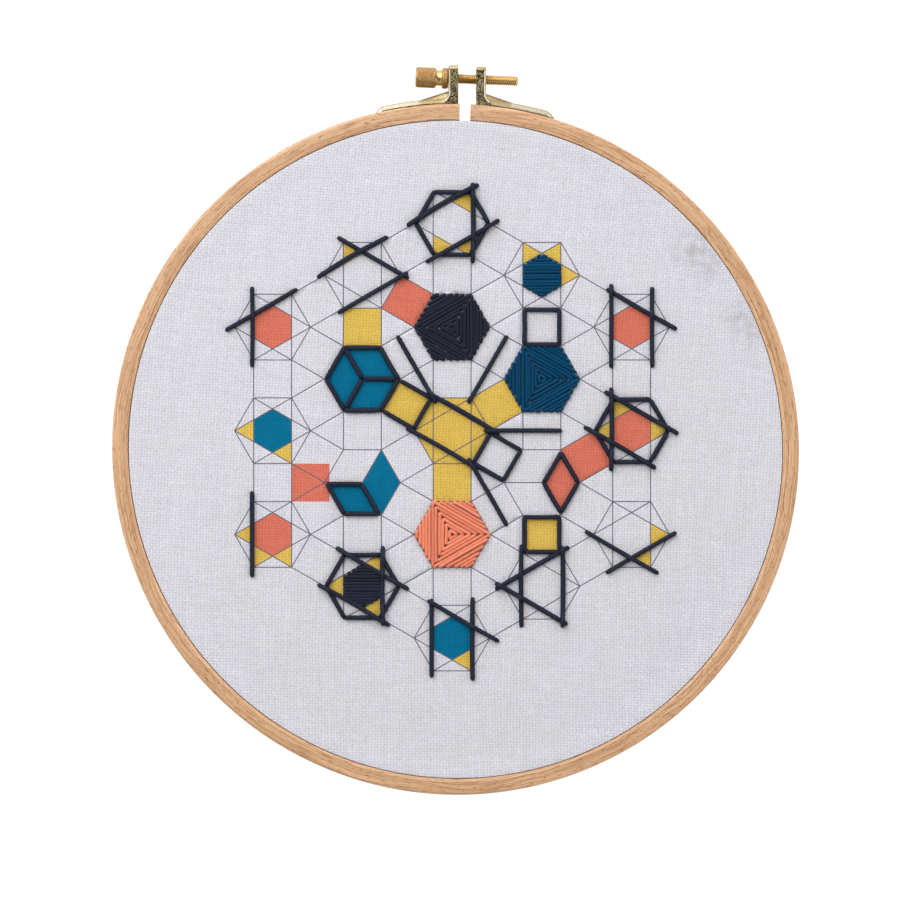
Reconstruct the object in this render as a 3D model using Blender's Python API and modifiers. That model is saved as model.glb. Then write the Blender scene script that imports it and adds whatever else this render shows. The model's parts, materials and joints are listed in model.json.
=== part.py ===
"""Embroidery hoop with a stretched, stitched cloth, lying on its back.

The frame is the object's own: +X to the right and +Y up in the worked design, +Z out of
its face.  Z = 0 is the plane of the hoops' back faces, and the origin is the middle of the
object's outline there.  All lengths are in metres.
"""

from math import acos, ceil, cos, pi, radians, sin, sqrt

import bmesh
import bpy
from mathutils import Vector

MM = 0.001
GAP = 0.3 * MM                    # clearance between neighbouring pieces

# Outer hoop: a bentwood ring, split at the top and rounded along its edges
HOOP_RADIUS = 101.7 * MM
HOOP_WALL = 4.6 * MM
HOOP_HEIGHT = 9.0 * MM
HOOP_ROUNDING = 1.2 * MM
SPLIT_WIDTH = 3.2 * MM
SPLIT_X = 2.8 * MM                # the split sits a little right of the centre line
RING_STEPS = 96
ROUNDING_STEPS = 2

# Cloth: a taut drum skin whose edge goes down between the two hoops
CLOTH_THICKNESS = 1.0 * MM
CLOTH_FACE = 8.4 * MM             # height of its face above the back plane
CLOTH_SHOULDER = 1.0 * MM         # rounding where it turns over the inner hoop
CLOTH_HEM = 0.4 * MM              # its trimmed edge stays this far off the back plane
SHOULDER_STEPS = 3

# Inner hoop: a closed ring under the cloth
INNER_RADIUS = HOOP_RADIUS - HOOP_WALL - CLOTH_THICKNESS - 2 * GAP
INNER_WALL = 4.6 * MM
INNER_HEIGHT = CLOTH_FACE - CLOTH_THICKNESS - GAP
INNER_ROUNDING = 0.8 * MM

# Brackets: a pressed brass strap along the hoop that turns up into a hollow lug
LUG_TOP = 113.4 * MM              # from the hoop's centre
LUG_DEPTH = 2.9 * MM
LUG_SPACING = 5.1 * MM            # clear space between the two lugs
LUG_MIDDLE_X = 3.55 * MM
STRAP_REACH = 21.2 * MM           # from the lug's outer face to the strap's end
STRAP_RISE = 1.6 * MM
STRAP_END_DROP = 1.6 * MM         # length of the bent-down end
BRACKET_WIDTH = 8.0 * MM
SHEET = 0.7 * MM                  # thickness of the pressed sheet
CORNER = 1.8 * MM                 # inside radius where strap and lug meet
LUG_ROUNDING = 0.5 * MM
RIB_WIDTH = 2.6 * MM
RIB_LENGTH = 8.6 * MM
RIB_RISE = 2.7 * MM
SCREW_HOLE_RADIUS = 1.85 * MM
SCREW_HOLE_STEPS = 20
STRAP_STEPS = 6
CORNER_STEPS = 4

# Thumb screw: a knurled drum, a neck and a collar on a plain rod
SCREW_AXIS_RISE = 109.5 * MM      # from the hoop's centre, midway between the lugs
SCREW_TILT = radians(-2.3)
ROD_RADIUS = 1.5 * MM
ROD_LENGTH = 20.4 * MM
ROD_POINT = 0.5 * MM
DRUM_RADIUS = 2.95 * MM
DRUM_LENGTH = 5.7 * MM
DRUM_CHAMFER = 0.45 * MM
NECK_RADIUS = 2.1 * MM
NECK_LENGTH = 1.9 * MM
NECK_SHOULDER = 0.5 * MM          # from the drum down to the neck's waist
NECK_FOOT = 0.7 * MM              # from the waist down to the collar
COLLAR_RADIUS = 2.85 * MM
COLLAR_LENGTH = 1.9 * MM
SCREW_STEPS = 24

# Worked design: a plain tiling of hexagons, squares and triangles with one edge length
TILE = 11.2 * MM
DESIGN_OFFSET = Vector((-1.0 * MM, 5.5 * MM))    # from the hoop's centre
SATIN_HEIGHT = 1.0 * MM
SATIN_VALLEY = 0.65 * MM          # between two ridges of thread
SATIN_EDGE = 0.4 * MM             # where the threads go down into the cloth
SATIN_SLOPE = 0.9 * MM            # from a thread's end to its full height
SATIN_INSET = 0.35 * MM           # from the printed outline
SATIN_RIDGE = 1.9 * MM
LINE_RADIUS = 0.7 * MM
LINE_INSET = 0.85 * MM
LINE_CORNER = 0.8 * MM

# Distances from the design's middle to the hexagons around it, in edge lengths
FIRST_RING = 1 + sqrt(3)
SECOND_RING = sqrt(3) * FIRST_RING
SECOND_RING_CORNER = 2 * FIRST_RING

# Each kind of tile: how far it lies from its hexagon's centre along its own direction,
# then its corners as distance and angle from that direction, in edge lengths and degrees
TILE_KINDS = {
    "hexagon": (0, [(1, 60 * i) for i in range(6)]),
    "heart": (0, [(1 / sqrt(3), 30 + 60 * i) for i in range(6)]),
    "square": ((1 + sqrt(3)) / 2, [(1 / sqrt(2), 45 + 90 * i) for i in range(4)]),
    "rhombus": (0.5, [(0.5, 0), (sqrt(3) / 2, 90), (0.5, 180), (sqrt(3) / 2, 270)]),
}

# Satin-stitched tiles: name, kind, ring and direction of its hexagon, the tile's own
# direction from there, thread angle, colour
SATIN_TILES = (
    ("satin_navy_left", "rhombus", FIRST_RING, 90, 120, 30, "navy"),
    ("satin_navy_right", "rhombus", FIRST_RING, 90, 0, 90, "navy"),
    ("satin_navy_lower", "rhombus", FIRST_RING, 90, 240, 150, "navy"),
    ("satin_petrol_upper", "rhombus", FIRST_RING, 30, 60, 150, "petrol"),
    ("satin_petrol_left", "rhombus", FIRST_RING, 30, 180, 90, "petrol"),
    ("satin_petrol_lower", "rhombus", FIRST_RING, 30, 300, 30, "petrol"),
    ("satin_coral_upper", "rhombus", FIRST_RING, -90, 60, 150, "coral"),
    ("satin_coral_left", "rhombus", FIRST_RING, -90, 180, 90, "coral"),
    ("satin_coral_lower", "rhombus", FIRST_RING, -90, 300, 30, "coral"),
    ("satin_heart_navy", "heart", SECOND_RING, -120, 0, 0, "navy"),
    ("satin_heart_petrol", "heart", SECOND_RING, 60, 0, 0, "petrol"),
)

# Tiles with a stitched outline: name, kind, ring and direction, the tile's own direction
LINED_TILES = (
    ("line_hexagon_upper_left", "hexagon", FIRST_RING, 150, 0),
    ("line_hexagon_top", "hexagon", SECOND_RING_CORNER, 90, 0),
    ("line_hexagon_right", "hexagon", SECOND_RING, 0, 0),
    ("line_hexagon_lower_left", "hexagon", SECOND_RING, -120, 0),
    ("line_square_upper_left", "square", 0, 0, 150),
    ("line_square_lower_right", "square", 0, 0, -30),
    ("line_square_upper_right", "square", FIRST_RING, 30, 90),
    ("line_square_lower", "square", FIRST_RING, -30, -90),
    ("line_rhombus_right", "rhombus", FIRST_RING, -30, 0),
    ("line_rhombus_lower_left", "rhombus", FIRST_RING, -150, -120),
)

# Colour, roughness and metallic value of each material
FINISHES = {
    "beech": ((0.62, 0.41, 0.24), 0.55, 0.0),
    "cloth": ((0.72, 0.70, 0.75), 0.9, 0.0),
    "plated_brass": ((0.62, 0.56, 0.33), 0.35, 1.0),
    "brass": ((0.52, 0.35, 0.13), 0.35, 1.0),
    "navy": ((0.02, 0.024, 0.043), 0.6, 0.0),
    "petrol": ((0.003, 0.055, 0.12), 0.55, 0.0),
    "coral": ((0.76, 0.22, 0.13), 0.55, 0.0),
}

HOOP_Y = (HOOP_RADIUS - LUG_TOP) / 2            # centres the outline on the origin
HOOP_CENTRE = Vector((0, HOOP_Y, 0))
DESIGN_CENTRE = HOOP_CENTRE + DESIGN_OFFSET.to_3d()
BRACKET_FLOOR = HOOP_RADIUS + GAP
STRAP_RADIUS = BRACKET_FLOOR + STRAP_RISE


def clear_scene():
    for item in list(bpy.data.objects):
        bpy.data.objects.remove(item)


def collection(name):
    group = bpy.data.collections.new(name)
    bpy.context.scene.collection.children.link(group)
    return group


def material(name):
    colour, roughness, metallic = FINISHES[name]
    found = bpy.data.materials.get(name)
    if found:
        return found
    made = bpy.data.materials.new(name)
    made.use_nodes = True
    made.diffuse_color = (*colour, 1)
    shader = made.node_tree.nodes["Principled BSDF"]
    shader.inputs["Base Color"].default_value = (*colour, 1)
    shader.inputs["Roughness"].default_value = roughness
    shader.inputs["Metallic"].default_value = metallic
    return made


def add_piece(group, name, mesh, finish, sharp_angle=35):
    """Link a mesh as one named piece with its own finish."""
    piece = bpy.data.objects.new(name, mesh)
    group.objects.link(piece)
    mesh.materials.append(material(finish))
    mesh.shade_smooth()
    mesh.set_sharp_from_angle(angle=radians(sharp_angle))
    return piece


def add_cutter(group, name, mesh):
    cutter = bpy.data.objects.new(name, mesh)
    group.objects.link(cutter)
    cutter.hide_render = True
    cutter.display_type = "WIRE"
    return cutter


def boolean(piece, other, operation):
    step = piece.modifiers.new(other.name, "BOOLEAN")
    step.operation = operation
    step.solver = "EXACT"
    step.object = other


def arc(centre, radius, start, end, steps):
    """Points on an arc in a plane, from one angle to another in radians."""
    turns = [start + (end - start) * i / steps for i in range(steps + 1)]
    return [(centre[0] + radius * cos(a), centre[1] + radius * sin(a)) for a in turns]


def rounded_section(inner, outer, low, high, rounding, steps):
    """A ring's cross-section, running down its outer side and up its inner side."""
    points = arc((outer - rounding, high - rounding), rounding, pi / 2, 0, steps)
    points += arc((outer - rounding, low + rounding), rounding, 0, -pi / 2, steps)
    points += arc((inner + rounding, low + rounding), rounding, -pi / 2, -pi, steps)
    points += arc((inner + rounding, high - rounding), rounding, pi, pi / 2, steps)
    return points


def profile_mesh(name, points, closed):
    mesh = bpy.data.meshes.new(name)
    edges = [(i, i + 1) for i in range(len(points) - 1)]
    if closed:
        edges.append((len(points) - 1, 0))
    mesh.from_pydata([(x, 0, z) for x, z in points], edges, [])
    return mesh


def lathe(piece, steps):
    """Turn a piece's profile about its own Z axis."""
    screw = piece.modifiers.new("lathe", "SCREW")
    screw.steps = steps
    screw.render_steps = steps
    screw.use_merge_vertices = True
    screw.merge_threshold = 0.000001
    screw.use_smooth_shade = True


def box_mesh(name, low, high):
    """A box from its lowest to its highest corner."""
    bm = bmesh.new()
    bmesh.ops.create_cube(bm, size=1)
    size = Vector(high) - Vector(low)
    bmesh.ops.scale(bm, vec=size, verts=bm.verts)
    bmesh.ops.translate(bm, vec=(Vector(high) + Vector(low)) / 2, verts=bm.verts)
    mesh = bpy.data.meshes.new(name)
    bm.to_mesh(mesh)
    bm.free()
    return mesh


def plate_mesh(name, points, width, middle_z):
    """A flat outline extruded to a width along Z, as a closed mesh."""
    curve = bpy.data.curves.new(name, "CURVE")
    curve.dimensions = "2D"
    curve.fill_mode = "BOTH"
    curve.extrude = width / 2
    spline = curve.splines.new("POLY")
    spline.points.add(len(points) - 1)
    for point, (x, y) in zip(spline.points, points):
        point.co = (x, y, 0, 1)
    spline.use_cyclic_u = True
    shape = bpy.data.objects.new(name + "_outline", curve)
    bpy.context.scene.collection.objects.link(shape)
    depsgraph = bpy.context.evaluated_depsgraph_get()
    mesh = bpy.data.meshes.new_from_object(shape.evaluated_get(depsgraph))
    bpy.data.objects.remove(shape)
    bm = bmesh.new()
    bm.from_mesh(mesh)
    bmesh.ops.remove_doubles(bm, verts=bm.verts, dist=0.00001)
    bmesh.ops.dissolve_limit(bm, angle_limit=radians(0.5), verts=bm.verts, edges=bm.edges)
    bmesh.ops.recalc_face_normals(bm, faces=bm.faces)
    bmesh.ops.translate(bm, vec=(0, 0, middle_z), verts=bm.verts)
    bm.to_mesh(mesh)
    bm.free()
    return mesh


def round_edges(piece, width):
    bevel = piece.modifiers.new("rounding", "BEVEL")
    bevel.width = width
    bevel.segments = ROUNDING_STEPS
    bevel.limit_method = "ANGLE"
    bevel.angle_limit = radians(40)


def build_outer_hoop(parts, cutters):
    section = rounded_section(HOOP_RADIUS - HOOP_WALL, HOOP_RADIUS, 0, HOOP_HEIGHT,
                              HOOP_ROUNDING, ROUNDING_STEPS)
    hoop = add_piece(parts, "outer_hoop", profile_mesh("outer_hoop", section, True), "beech")
    hoop.location = HOOP_CENTRE
    lathe(hoop, RING_STEPS)
    low = (SPLIT_X - SPLIT_WIDTH / 2, HOOP_RADIUS - 2 * HOOP_WALL, -HOOP_HEIGHT)
    high = (SPLIT_X + SPLIT_WIDTH / 2, HOOP_RADIUS + HOOP_WALL, 2 * HOOP_HEIGHT)
    split = add_cutter(cutters, "split", box_mesh("split", low, high))
    split.location = HOOP_CENTRE
    boolean(hoop, split, "DIFFERENCE")


def build_inner_hoop(parts):
    section = rounded_section(INNER_RADIUS - INNER_WALL, INNER_RADIUS, 0, INNER_HEIGHT,
                              INNER_ROUNDING, ROUNDING_STEPS)
    hoop = add_piece(parts, "inner_hoop", profile_mesh("inner_hoop", section, True), "beech")
    hoop.location = HOOP_CENTRE
    lathe(hoop, RING_STEPS)


def build_cloth(parts):
    """The drum skin: a disc whose rounded shoulder runs down into a skirt."""
    outer = INNER_RADIUS + GAP + CLOTH_THICKNESS
    inner = outer - CLOTH_THICKNESS
    centre = (outer - CLOTH_SHOULDER, CLOTH_FACE - CLOTH_SHOULDER)
    profile = [(0, CLOTH_FACE)]
    profile += arc(centre, CLOTH_SHOULDER, pi / 2, 0, SHOULDER_STEPS)
    profile += [(outer, CLOTH_HEM), (inner, CLOTH_HEM)]
    profile += [(inner, CLOTH_FACE - CLOTH_THICKNESS), (0, CLOTH_FACE - CLOTH_THICKNESS)]
    cloth = add_piece(parts, "cloth", profile_mesh("cloth", profile, False), "cloth")
    cloth.location = HOOP_CENTRE
    lathe(cloth, RING_STEPS)


def bracket_outline(web_x, toward_gap):
    """A bracket's side view: the strap's two arcs, its dropped end and the upright lug."""
    away = -toward_gap
    end_x = web_x + away * STRAP_REACH
    inner_x = web_x + toward_gap * LUG_DEPTH
    corner_x = web_x + away * CORNER

    drop_x = end_x - away * STRAP_END_DROP
    floor_angles = [acos(x / BRACKET_FLOOR) for x in (end_x, inner_x)]
    back_angles = [acos(x / STRAP_RADIUS) for x in (corner_x, drop_x)]
    floor = arc((0, 0), BRACKET_FLOOR, *floor_angles, STRAP_STEPS)
    back = arc((0, 0), STRAP_RADIUS, *back_angles, STRAP_STEPS)
    corner_y = back[0][1] + CORNER
    start, end = (pi, 3 * pi / 2) if away > 0 else (0, -pi / 2)
    fillet = arc((corner_x, corner_y), CORNER, start, end, CORNER_STEPS)[:-1]
    top = [(inner_x, LUG_TOP), (web_x, LUG_TOP)]
    return floor + top + fillet + back


def build_bracket(parts, cutters, name, toward_gap):
    """One bracket: a block in the side view, hollowed from the gap side, with its rib."""
    web_x = LUG_MIDDLE_X - toward_gap * (LUG_SPACING / 2 + LUG_DEPTH)
    middle_z = HOOP_HEIGHT / 2
    outline = bracket_outline(web_x, toward_gap)
    mesh = plate_mesh(name, outline, BRACKET_WIDTH, middle_z)
    bracket = add_piece(parts, name, mesh, "plated_brass")
    bracket.location = HOOP_CENTRE
    round_edges(bracket, LUG_ROUNDING)

    half_pocket = BRACKET_WIDTH / 2 - SHEET
    mouth_x = web_x + toward_gap * (LUG_DEPTH + SHEET)
    wall_x = web_x + toward_gap * SHEET
    low = (min(mouth_x, wall_x), STRAP_RADIUS - SHEET / 2, middle_z - half_pocket)
    high = (max(mouth_x, wall_x), LUG_TOP - SHEET, middle_z + half_pocket)
    pocket = add_cutter(cutters, name + "_pocket", box_mesh(name + "_pocket", low, high))
    pocket.location = HOOP_CENTRE
    boolean(bracket, pocket, "DIFFERENCE")

    foot_y = sqrt(STRAP_RADIUS ** 2 - web_x ** 2)
    sink = SHEET / 2
    far_x = web_x - toward_gap * RIB_LENGTH
    far_y = sqrt(STRAP_RADIUS ** 2 - far_x ** 2)
    rib_points = [
        (far_x, far_y - sink / 2),
        (web_x + toward_gap * sink, foot_y - sink),
        (web_x + toward_gap * sink, foot_y + RIB_RISE),
        (web_x, foot_y + RIB_RISE),
    ]
    rib_mesh = plate_mesh(name + "_rib", rib_points, RIB_WIDTH, middle_z)
    rib = add_cutter(cutters, name + "_rib", rib_mesh)
    rib.location = HOOP_CENTRE
    boolean(bracket, rib, "UNION")

    hole = add_cutter(cutters, name + "_hole", drill_mesh(name + "_hole"))
    hole.rotation_euler = (0, pi / 2, SCREW_TILT)
    hole.location = screw_point(web_x)
    boolean(bracket, hole, "DIFFERENCE")


def drill_mesh(name):
    """The drill for a bracket's screw hole, along its own Z axis."""
    bm = bmesh.new()
    bmesh.ops.create_cone(bm, cap_ends=True, segments=SCREW_HOLE_STEPS, depth=4 * SHEET,
                          radius1=SCREW_HOLE_RADIUS, radius2=SCREW_HOLE_RADIUS)
    mesh = bpy.data.meshes.new(name)
    bm.to_mesh(mesh)
    bm.free()
    return mesh


def screw_point(x):
    """The point on the screw's axis above a place along X."""
    middle = HOOP_CENTRE + Vector((LUG_MIDDLE_X, SCREW_AXIS_RISE, HOOP_HEIGHT / 2))
    along = (x - LUG_MIDDLE_X) / cos(SCREW_TILT)
    return middle + along * Vector((cos(SCREW_TILT), sin(SCREW_TILT), 0))


def build_thumb_screw(parts):
    """Turned about its own Z axis, head up, with its origin where the collar ends."""
    neck_top = COLLAR_LENGTH + NECK_LENGTH
    drum_top = neck_top + DRUM_LENGTH
    chamfer = DRUM_CHAMFER
    profile = [
        (0, drum_top),
        (DRUM_RADIUS - chamfer, drum_top),
        (DRUM_RADIUS, drum_top - chamfer),
        (DRUM_RADIUS, neck_top + chamfer),
        (DRUM_RADIUS - chamfer, neck_top),
        (NECK_RADIUS, neck_top - NECK_SHOULDER),
        (NECK_RADIUS, COLLAR_LENGTH + NECK_FOOT),
        (COLLAR_RADIUS - chamfer, COLLAR_LENGTH),
        (COLLAR_RADIUS, COLLAR_LENGTH - chamfer),
        (COLLAR_RADIUS, chamfer),
        (COLLAR_RADIUS - chamfer, 0),
        (ROD_RADIUS, 0),
        (ROD_RADIUS, ROD_POINT - ROD_LENGTH),
        (ROD_RADIUS - ROD_POINT, -ROD_LENGTH),
        (0, -ROD_LENGTH),
    ]
    screw = add_piece(parts, "thumb_screw", profile_mesh("thumb_screw", profile, False), "brass")
    lathe(screw, SCREW_STEPS)
    web_x = LUG_MIDDLE_X - LUG_SPACING / 2 - LUG_DEPTH
    screw.rotation_euler = (0, -pi / 2, SCREW_TILT)
    screw.location = screw_point(web_x - GAP)


def polar(distance, angle):
    """A step in the plane of the cloth, from a distance and an angle in degrees."""
    return distance * Vector((cos(radians(angle)), sin(radians(angle)), 0))


def tile_corners(kind, ring, direction, facing, inset):
    """Corners of one tile, anticlockwise, drawn in by the same inset along each side."""
    offset, corners = TILE_KINDS[kind]
    middle = DESIGN_CENTRE + polar(ring * TILE, direction) + polar(offset * TILE, facing)
    corners = [polar(distance * TILE, angle + facing) for distance, angle in corners]
    side = (corners[1] - corners[0]).normalized()
    to_side = (corners[0] - corners[0].dot(side) * side).length
    return [middle + corner * (1 - inset / to_side) for corner in corners]


def chord(corners, across, offset):
    """Where a line at an offset along `across` crosses a convex outline, both ends."""
    along = Vector((across.y, -across.x, 0))
    hits = []
    for here, there in zip(corners, corners[1:] + corners[:1]):
        low, high = here.dot(across), there.dot(across)
        if (low - offset) * (high - offset) <= 0 and low != high:
            hits.append(here.lerp(there, (offset - low) / (high - low)))
    hits.sort(key=lambda point: point.dot(along))
    return hits[0], hits[-1]


def build_satin(parts, name, kind, ring, direction, facing, thread_angle, finish):
    """A block of satin stitch: a low pad with ridges that run along its threads."""
    corners = tile_corners(kind, ring, direction, facing, SATIN_INSET)
    across = polar(1, thread_angle + 90)
    reach = [corner.dot(across) for corner in corners]
    low, high = min(reach) + SATIN_INSET, max(reach) - SATIN_INSET
    ridges = ceil((high - low) / SATIN_RIDGE)
    columns = 2 * ridges
    bm = bmesh.new()
    bmesh.ops.create_grid(bm, x_segments=columns, y_segments=3, size=0.5)
    for vert in bm.verts:
        column = round((vert.co.x + 0.5) * columns)
        row = round((vert.co.y + 0.5) * 3)
        start, end = chord(corners, across, low + (high - low) * column / columns)
        step = (end - start).normalized() * min(SATIN_SLOPE, (end - start).length / 3)
        crest = SATIN_HEIGHT if column % 2 else SATIN_VALLEY
        vert.co = (start, start + step, end - step, end)[row]
        vert.co.z += SATIN_EDGE if row in (0, 3) else crest
    walls = bmesh.ops.extrude_face_region(bm, geom=list(bm.faces))["geom"]
    for item in walls:
        if isinstance(item, bmesh.types.BMVert):
            item.co.z = 0
    bmesh.ops.recalc_face_normals(bm, faces=bm.faces)
    mesh = bpy.data.meshes.new(name)
    bm.to_mesh(mesh)
    bm.free()
    pad = add_piece(parts, name, mesh, finish, sharp_angle=30)
    pad.location.z = CLOTH_FACE + GAP


def build_line(parts, name, kind, ring, direction, facing):
    """A stitched outline just inside its tile: one round of thick thread."""
    corners = tile_corners(kind, ring, direction, facing, LINE_INSET)
    curve = bpy.data.curves.new(name, "CURVE")
    curve.dimensions = "3D"
    curve.bevel_depth = LINE_RADIUS
    curve.bevel_resolution = 2
    spline = curve.splines.new("POLY")
    spline.points.add(2 * len(corners) - 1)
    for i, corner in enumerate(corners):
        for j, neighbour in enumerate((corners[i - 1], corners[(i + 1) % len(corners)])):
            place = corner + (neighbour - corner).normalized() * LINE_CORNER
            spline.points[2 * i + j].co = (place.x, place.y, 0, 1)
    spline.use_cyclic_u = True
    spline.use_smooth = True
    curve.materials.append(material("navy"))
    line = bpy.data.objects.new(name, curve)
    parts.objects.link(line)
    line.location.z = CLOTH_FACE + GAP + LINE_RADIUS


def main():
    clear_scene()
    parts = collection("embroidery_hoop")
    cutters = collection("cutters")
    build_outer_hoop(parts, cutters)
    build_inner_hoop(parts)
    build_cloth(parts)
    build_bracket(parts, cutters, "bracket_left", 1)
    build_bracket(parts, cutters, "bracket_right", -1)
    build_thumb_screw(parts)
    for row in SATIN_TILES:
        build_satin(parts, *row)
    for row in LINED_TILES:
        build_line(parts, *row)


main()
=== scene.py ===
"""The looks of an embroidery hoop with a stretched, stitched cloth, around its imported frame.

The frame is the CAD part's own: +X to the right and +Y up in the worked design, +Z out of
its face, with the hoops' back faces at Z = 0.  Sizes here are in millimetres; make_mesh and
the few calls that need metres convert them.
"""

import json
from collections import namedtuple
from math import acos, atan2, ceil, cos, pi, radians, sin, sqrt

import bmesh
import bpy
import numpy as np
from mathutils import Euler, Matrix, Vector, geometry, kdtree, noise


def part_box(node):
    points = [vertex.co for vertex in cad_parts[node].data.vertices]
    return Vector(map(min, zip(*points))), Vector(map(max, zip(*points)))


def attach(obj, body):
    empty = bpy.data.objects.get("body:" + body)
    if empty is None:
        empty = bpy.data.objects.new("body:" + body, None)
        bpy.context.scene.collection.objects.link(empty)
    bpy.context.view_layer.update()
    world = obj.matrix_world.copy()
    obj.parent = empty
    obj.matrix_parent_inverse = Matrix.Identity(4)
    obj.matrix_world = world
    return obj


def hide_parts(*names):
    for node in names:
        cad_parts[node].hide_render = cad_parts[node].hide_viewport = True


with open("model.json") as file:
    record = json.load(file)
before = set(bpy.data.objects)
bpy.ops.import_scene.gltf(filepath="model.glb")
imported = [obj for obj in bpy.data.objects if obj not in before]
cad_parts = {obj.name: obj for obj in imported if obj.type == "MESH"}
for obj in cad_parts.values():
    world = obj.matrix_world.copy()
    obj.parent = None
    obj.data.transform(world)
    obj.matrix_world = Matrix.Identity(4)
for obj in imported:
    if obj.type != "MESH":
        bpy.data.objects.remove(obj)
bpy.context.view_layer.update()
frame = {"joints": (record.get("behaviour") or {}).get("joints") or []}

MM = 0.001

# Hoops, from the frame: the cloth's box gives their centre and the face's height
CLOTH_LOW, CLOTH_HIGH = (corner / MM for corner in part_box("cloth"))
OUTER_LOW, OUTER_HIGH = (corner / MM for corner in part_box("outer_hoop"))
INNER_LOW, INNER_HIGH = (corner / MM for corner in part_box("inner_hoop"))
CENTRE_Y = (CLOTH_LOW.y + CLOTH_HIGH.y) / 2
HOOP_RADIUS = (OUTER_HIGH.x - OUTER_LOW.x) / 2
HOOP_HEIGHT = OUTER_HIGH.z
INNER_RADIUS = (INNER_HIGH.x - INNER_LOW.x) / 2
INNER_HEIGHT = INNER_HIGH.z
CLOTH_INSET = 0.05                # how much smaller the cloth is here than in the solids
CLOTH_RADIUS = (CLOTH_HIGH.x - CLOTH_LOW.x) / 2 - CLOTH_INSET
CLOTH_FACE = CLOTH_HIGH.z
CLOTH_HEM = CLOTH_LOW.z
HOOP_WALL = 4.75
HOOP_ROUNDING = 0.8
# Its inner edges' scored line and chamfer: distances from the side and face, and the tone, which
# paints shade into the scored line and a highlight onto the chamfer
HOOP_EDGE = ((1.36, 0.0, 1.0), (1.2, 0.1, 0.72), (1.04, 0.02, 1.0), (0.92, 0.05, 1.08),
             (0.18, 0.21, 1.08), (0.0, 0.4, 1.0))
INNER_ROUNDING = 0.8
SPLIT_X = 2.8
SPLIT_WIDTH = 3.2
SPRING = 0.43                     # how far the hoops are sprung out of round
SPRING_ANGLE = radians(113)       # and the way they are longest
RING_STEPS = 360
ROUNDING_STEPS = 5
HOOP_SHARP = radians(10 + 90 / ROUNDING_STEPS)     # edges that bend more stay sharp

# Cloth
CLOTH_THICKNESS = 0.9
CLOTH_SHOULDER = 0.1
SHOULDER_RADIUS = CLOTH_RADIUS - CLOTH_SHOULDER
RIM_RISE = 0.3                    # it stands a little higher over the inner hoop's top
RIM_REACH = 4.0
SHOULDER_STEPS = 5
SKIRT_STEPS = 8
CLOTH_POINTS = 1.4                # spacing of the points on its face
BACK_POINTS = 3.0                 # and on its back
PUCKER_DEPTH = 0.2                # where a thread goes through it
PUCKER_REACH = 0.9
WAVINESS = 0.08
WAVE_LENGTH = 26.0
WAVE_FADE = 8.0                   # how far from the rim the waves start

# Weave: pitch of the upright and of the cross threads, how far they lean, how dark the
# gaps between them are and how far threads on top differ
WARP_PITCH = 0.915
WEFT_PITCH = 0.829
WARP_LEAN = 0.0506
WARP_BEND = 0.00033
WEFT_LEAN = 0.0497
WEFT_BEND = 0.0003
WARP_GAP = 0.13
WEFT_GAP = 0.12
CROSSING_TONE = 0.045
CROSSING_RISE = 0.7
SLUB_DRAW = 0.06                  # how far a thread's uneven stretches are drawn out

# Grey marks: the place and reach of each, how fast they fade, how much they hide
SMUDGES = ((73.5, 52.5, 11.0), (86.5, 32.0, 9.0))
SMUDGE_FADE = 1.8
SMUDGE_SHARE = 0.5
SMUDGE_COLOUR = (0.30, 0.28, 0.30, 1)

# The cloth's materials, bare and printed, in the order in which they lie on it
PRINT_COLOURS = {
    "cloth": (0.658, 0.647, 0.690),
    "print_yellow": (0.69, 0.465, 0.09),
    "print_teal": (0.0005, 0.145, 0.27),
    "print_coral": (0.657, 0.167, 0.110),
    "print_line": (0.135, 0.125, 0.155),
}

# Wood: its palest colour, then each kind of mark with its length, width and detail, the
# levels of noise between which it shows, how much of it shows at most, and its colour
WOOD_LIGHT = (0.69, 0.43, 0.245, 1)
WOOD_MARKS = (
    ("broad", 40, 2.4, 2.0, (0.3, 0.7, 1.0), (0.565, 0.33, 0.178, 1)),
    ("lines", 70, 0.36, 2.0, (0.48, 0.62, 1.0), (0.47, 0.25, 0.118, 1)),
    ("streaks", 12, 0.4, 2.0, (0.55, 0.69, 0.85), (0.37, 0.18, 0.078, 1)),
    ("pores", 1.9, 0.25, 1.0, (0.61, 0.7, 0.8), (0.20, 0.09, 0.04, 1)),
)
WOOD_WANDER = 5.0                 # how far its grain wanders, and over what length
WOOD_WANDER_LENGTH = 30.0

# Printed design: a tiling of hexagons, squares and triangles with one edge length. Its
# hexagons lie at the middle, numbered 0, and in the rings 1 and 2 round it, each in one of
# these directions
TILE = 11.2
DESIGN_CENTRE = Vector((-1.0, CENTRE_Y + 5.5, 0))
PRINT_LINE = 0.30
RING_STEP = 1 + sqrt(3)           # from hexagon to hexagon, in edge lengths
CORNER_DIRECTIONS = (90, 30, -30, -90, -150, 150)
SIDE_DIRECTIONS = (60, 0, -60, -120, 180, 120)

# Each kind of tile: how far it lies from its hexagon's centre along its own direction,
# then its corners as distance and angle from that direction, in edge lengths and degrees
TILE_KINDS = {
    "hexagon": (0, [(1, 60 * i) for i in range(6)]),
    "heart": (0, [(1 / sqrt(3), 30 + 60 * i) for i in range(6)]),
    "tip": (0, [(1 / sqrt(3), -30), (1, 0), (1 / sqrt(3), 30)]),
    "square": (RING_STEP / 2, [(1 / sqrt(2), 45 + 90 * i) for i in range(4)]),
    "rhombus": (0.5, [(0.5, 0), (sqrt(3) / 2, 90), (0.5, 180), (sqrt(3) / 2, 270)]),
    "triangle": (1 + 1 / sqrt(3), [(1 / sqrt(3), 180 + 120 * i) for i in range(3)]),
}

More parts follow.
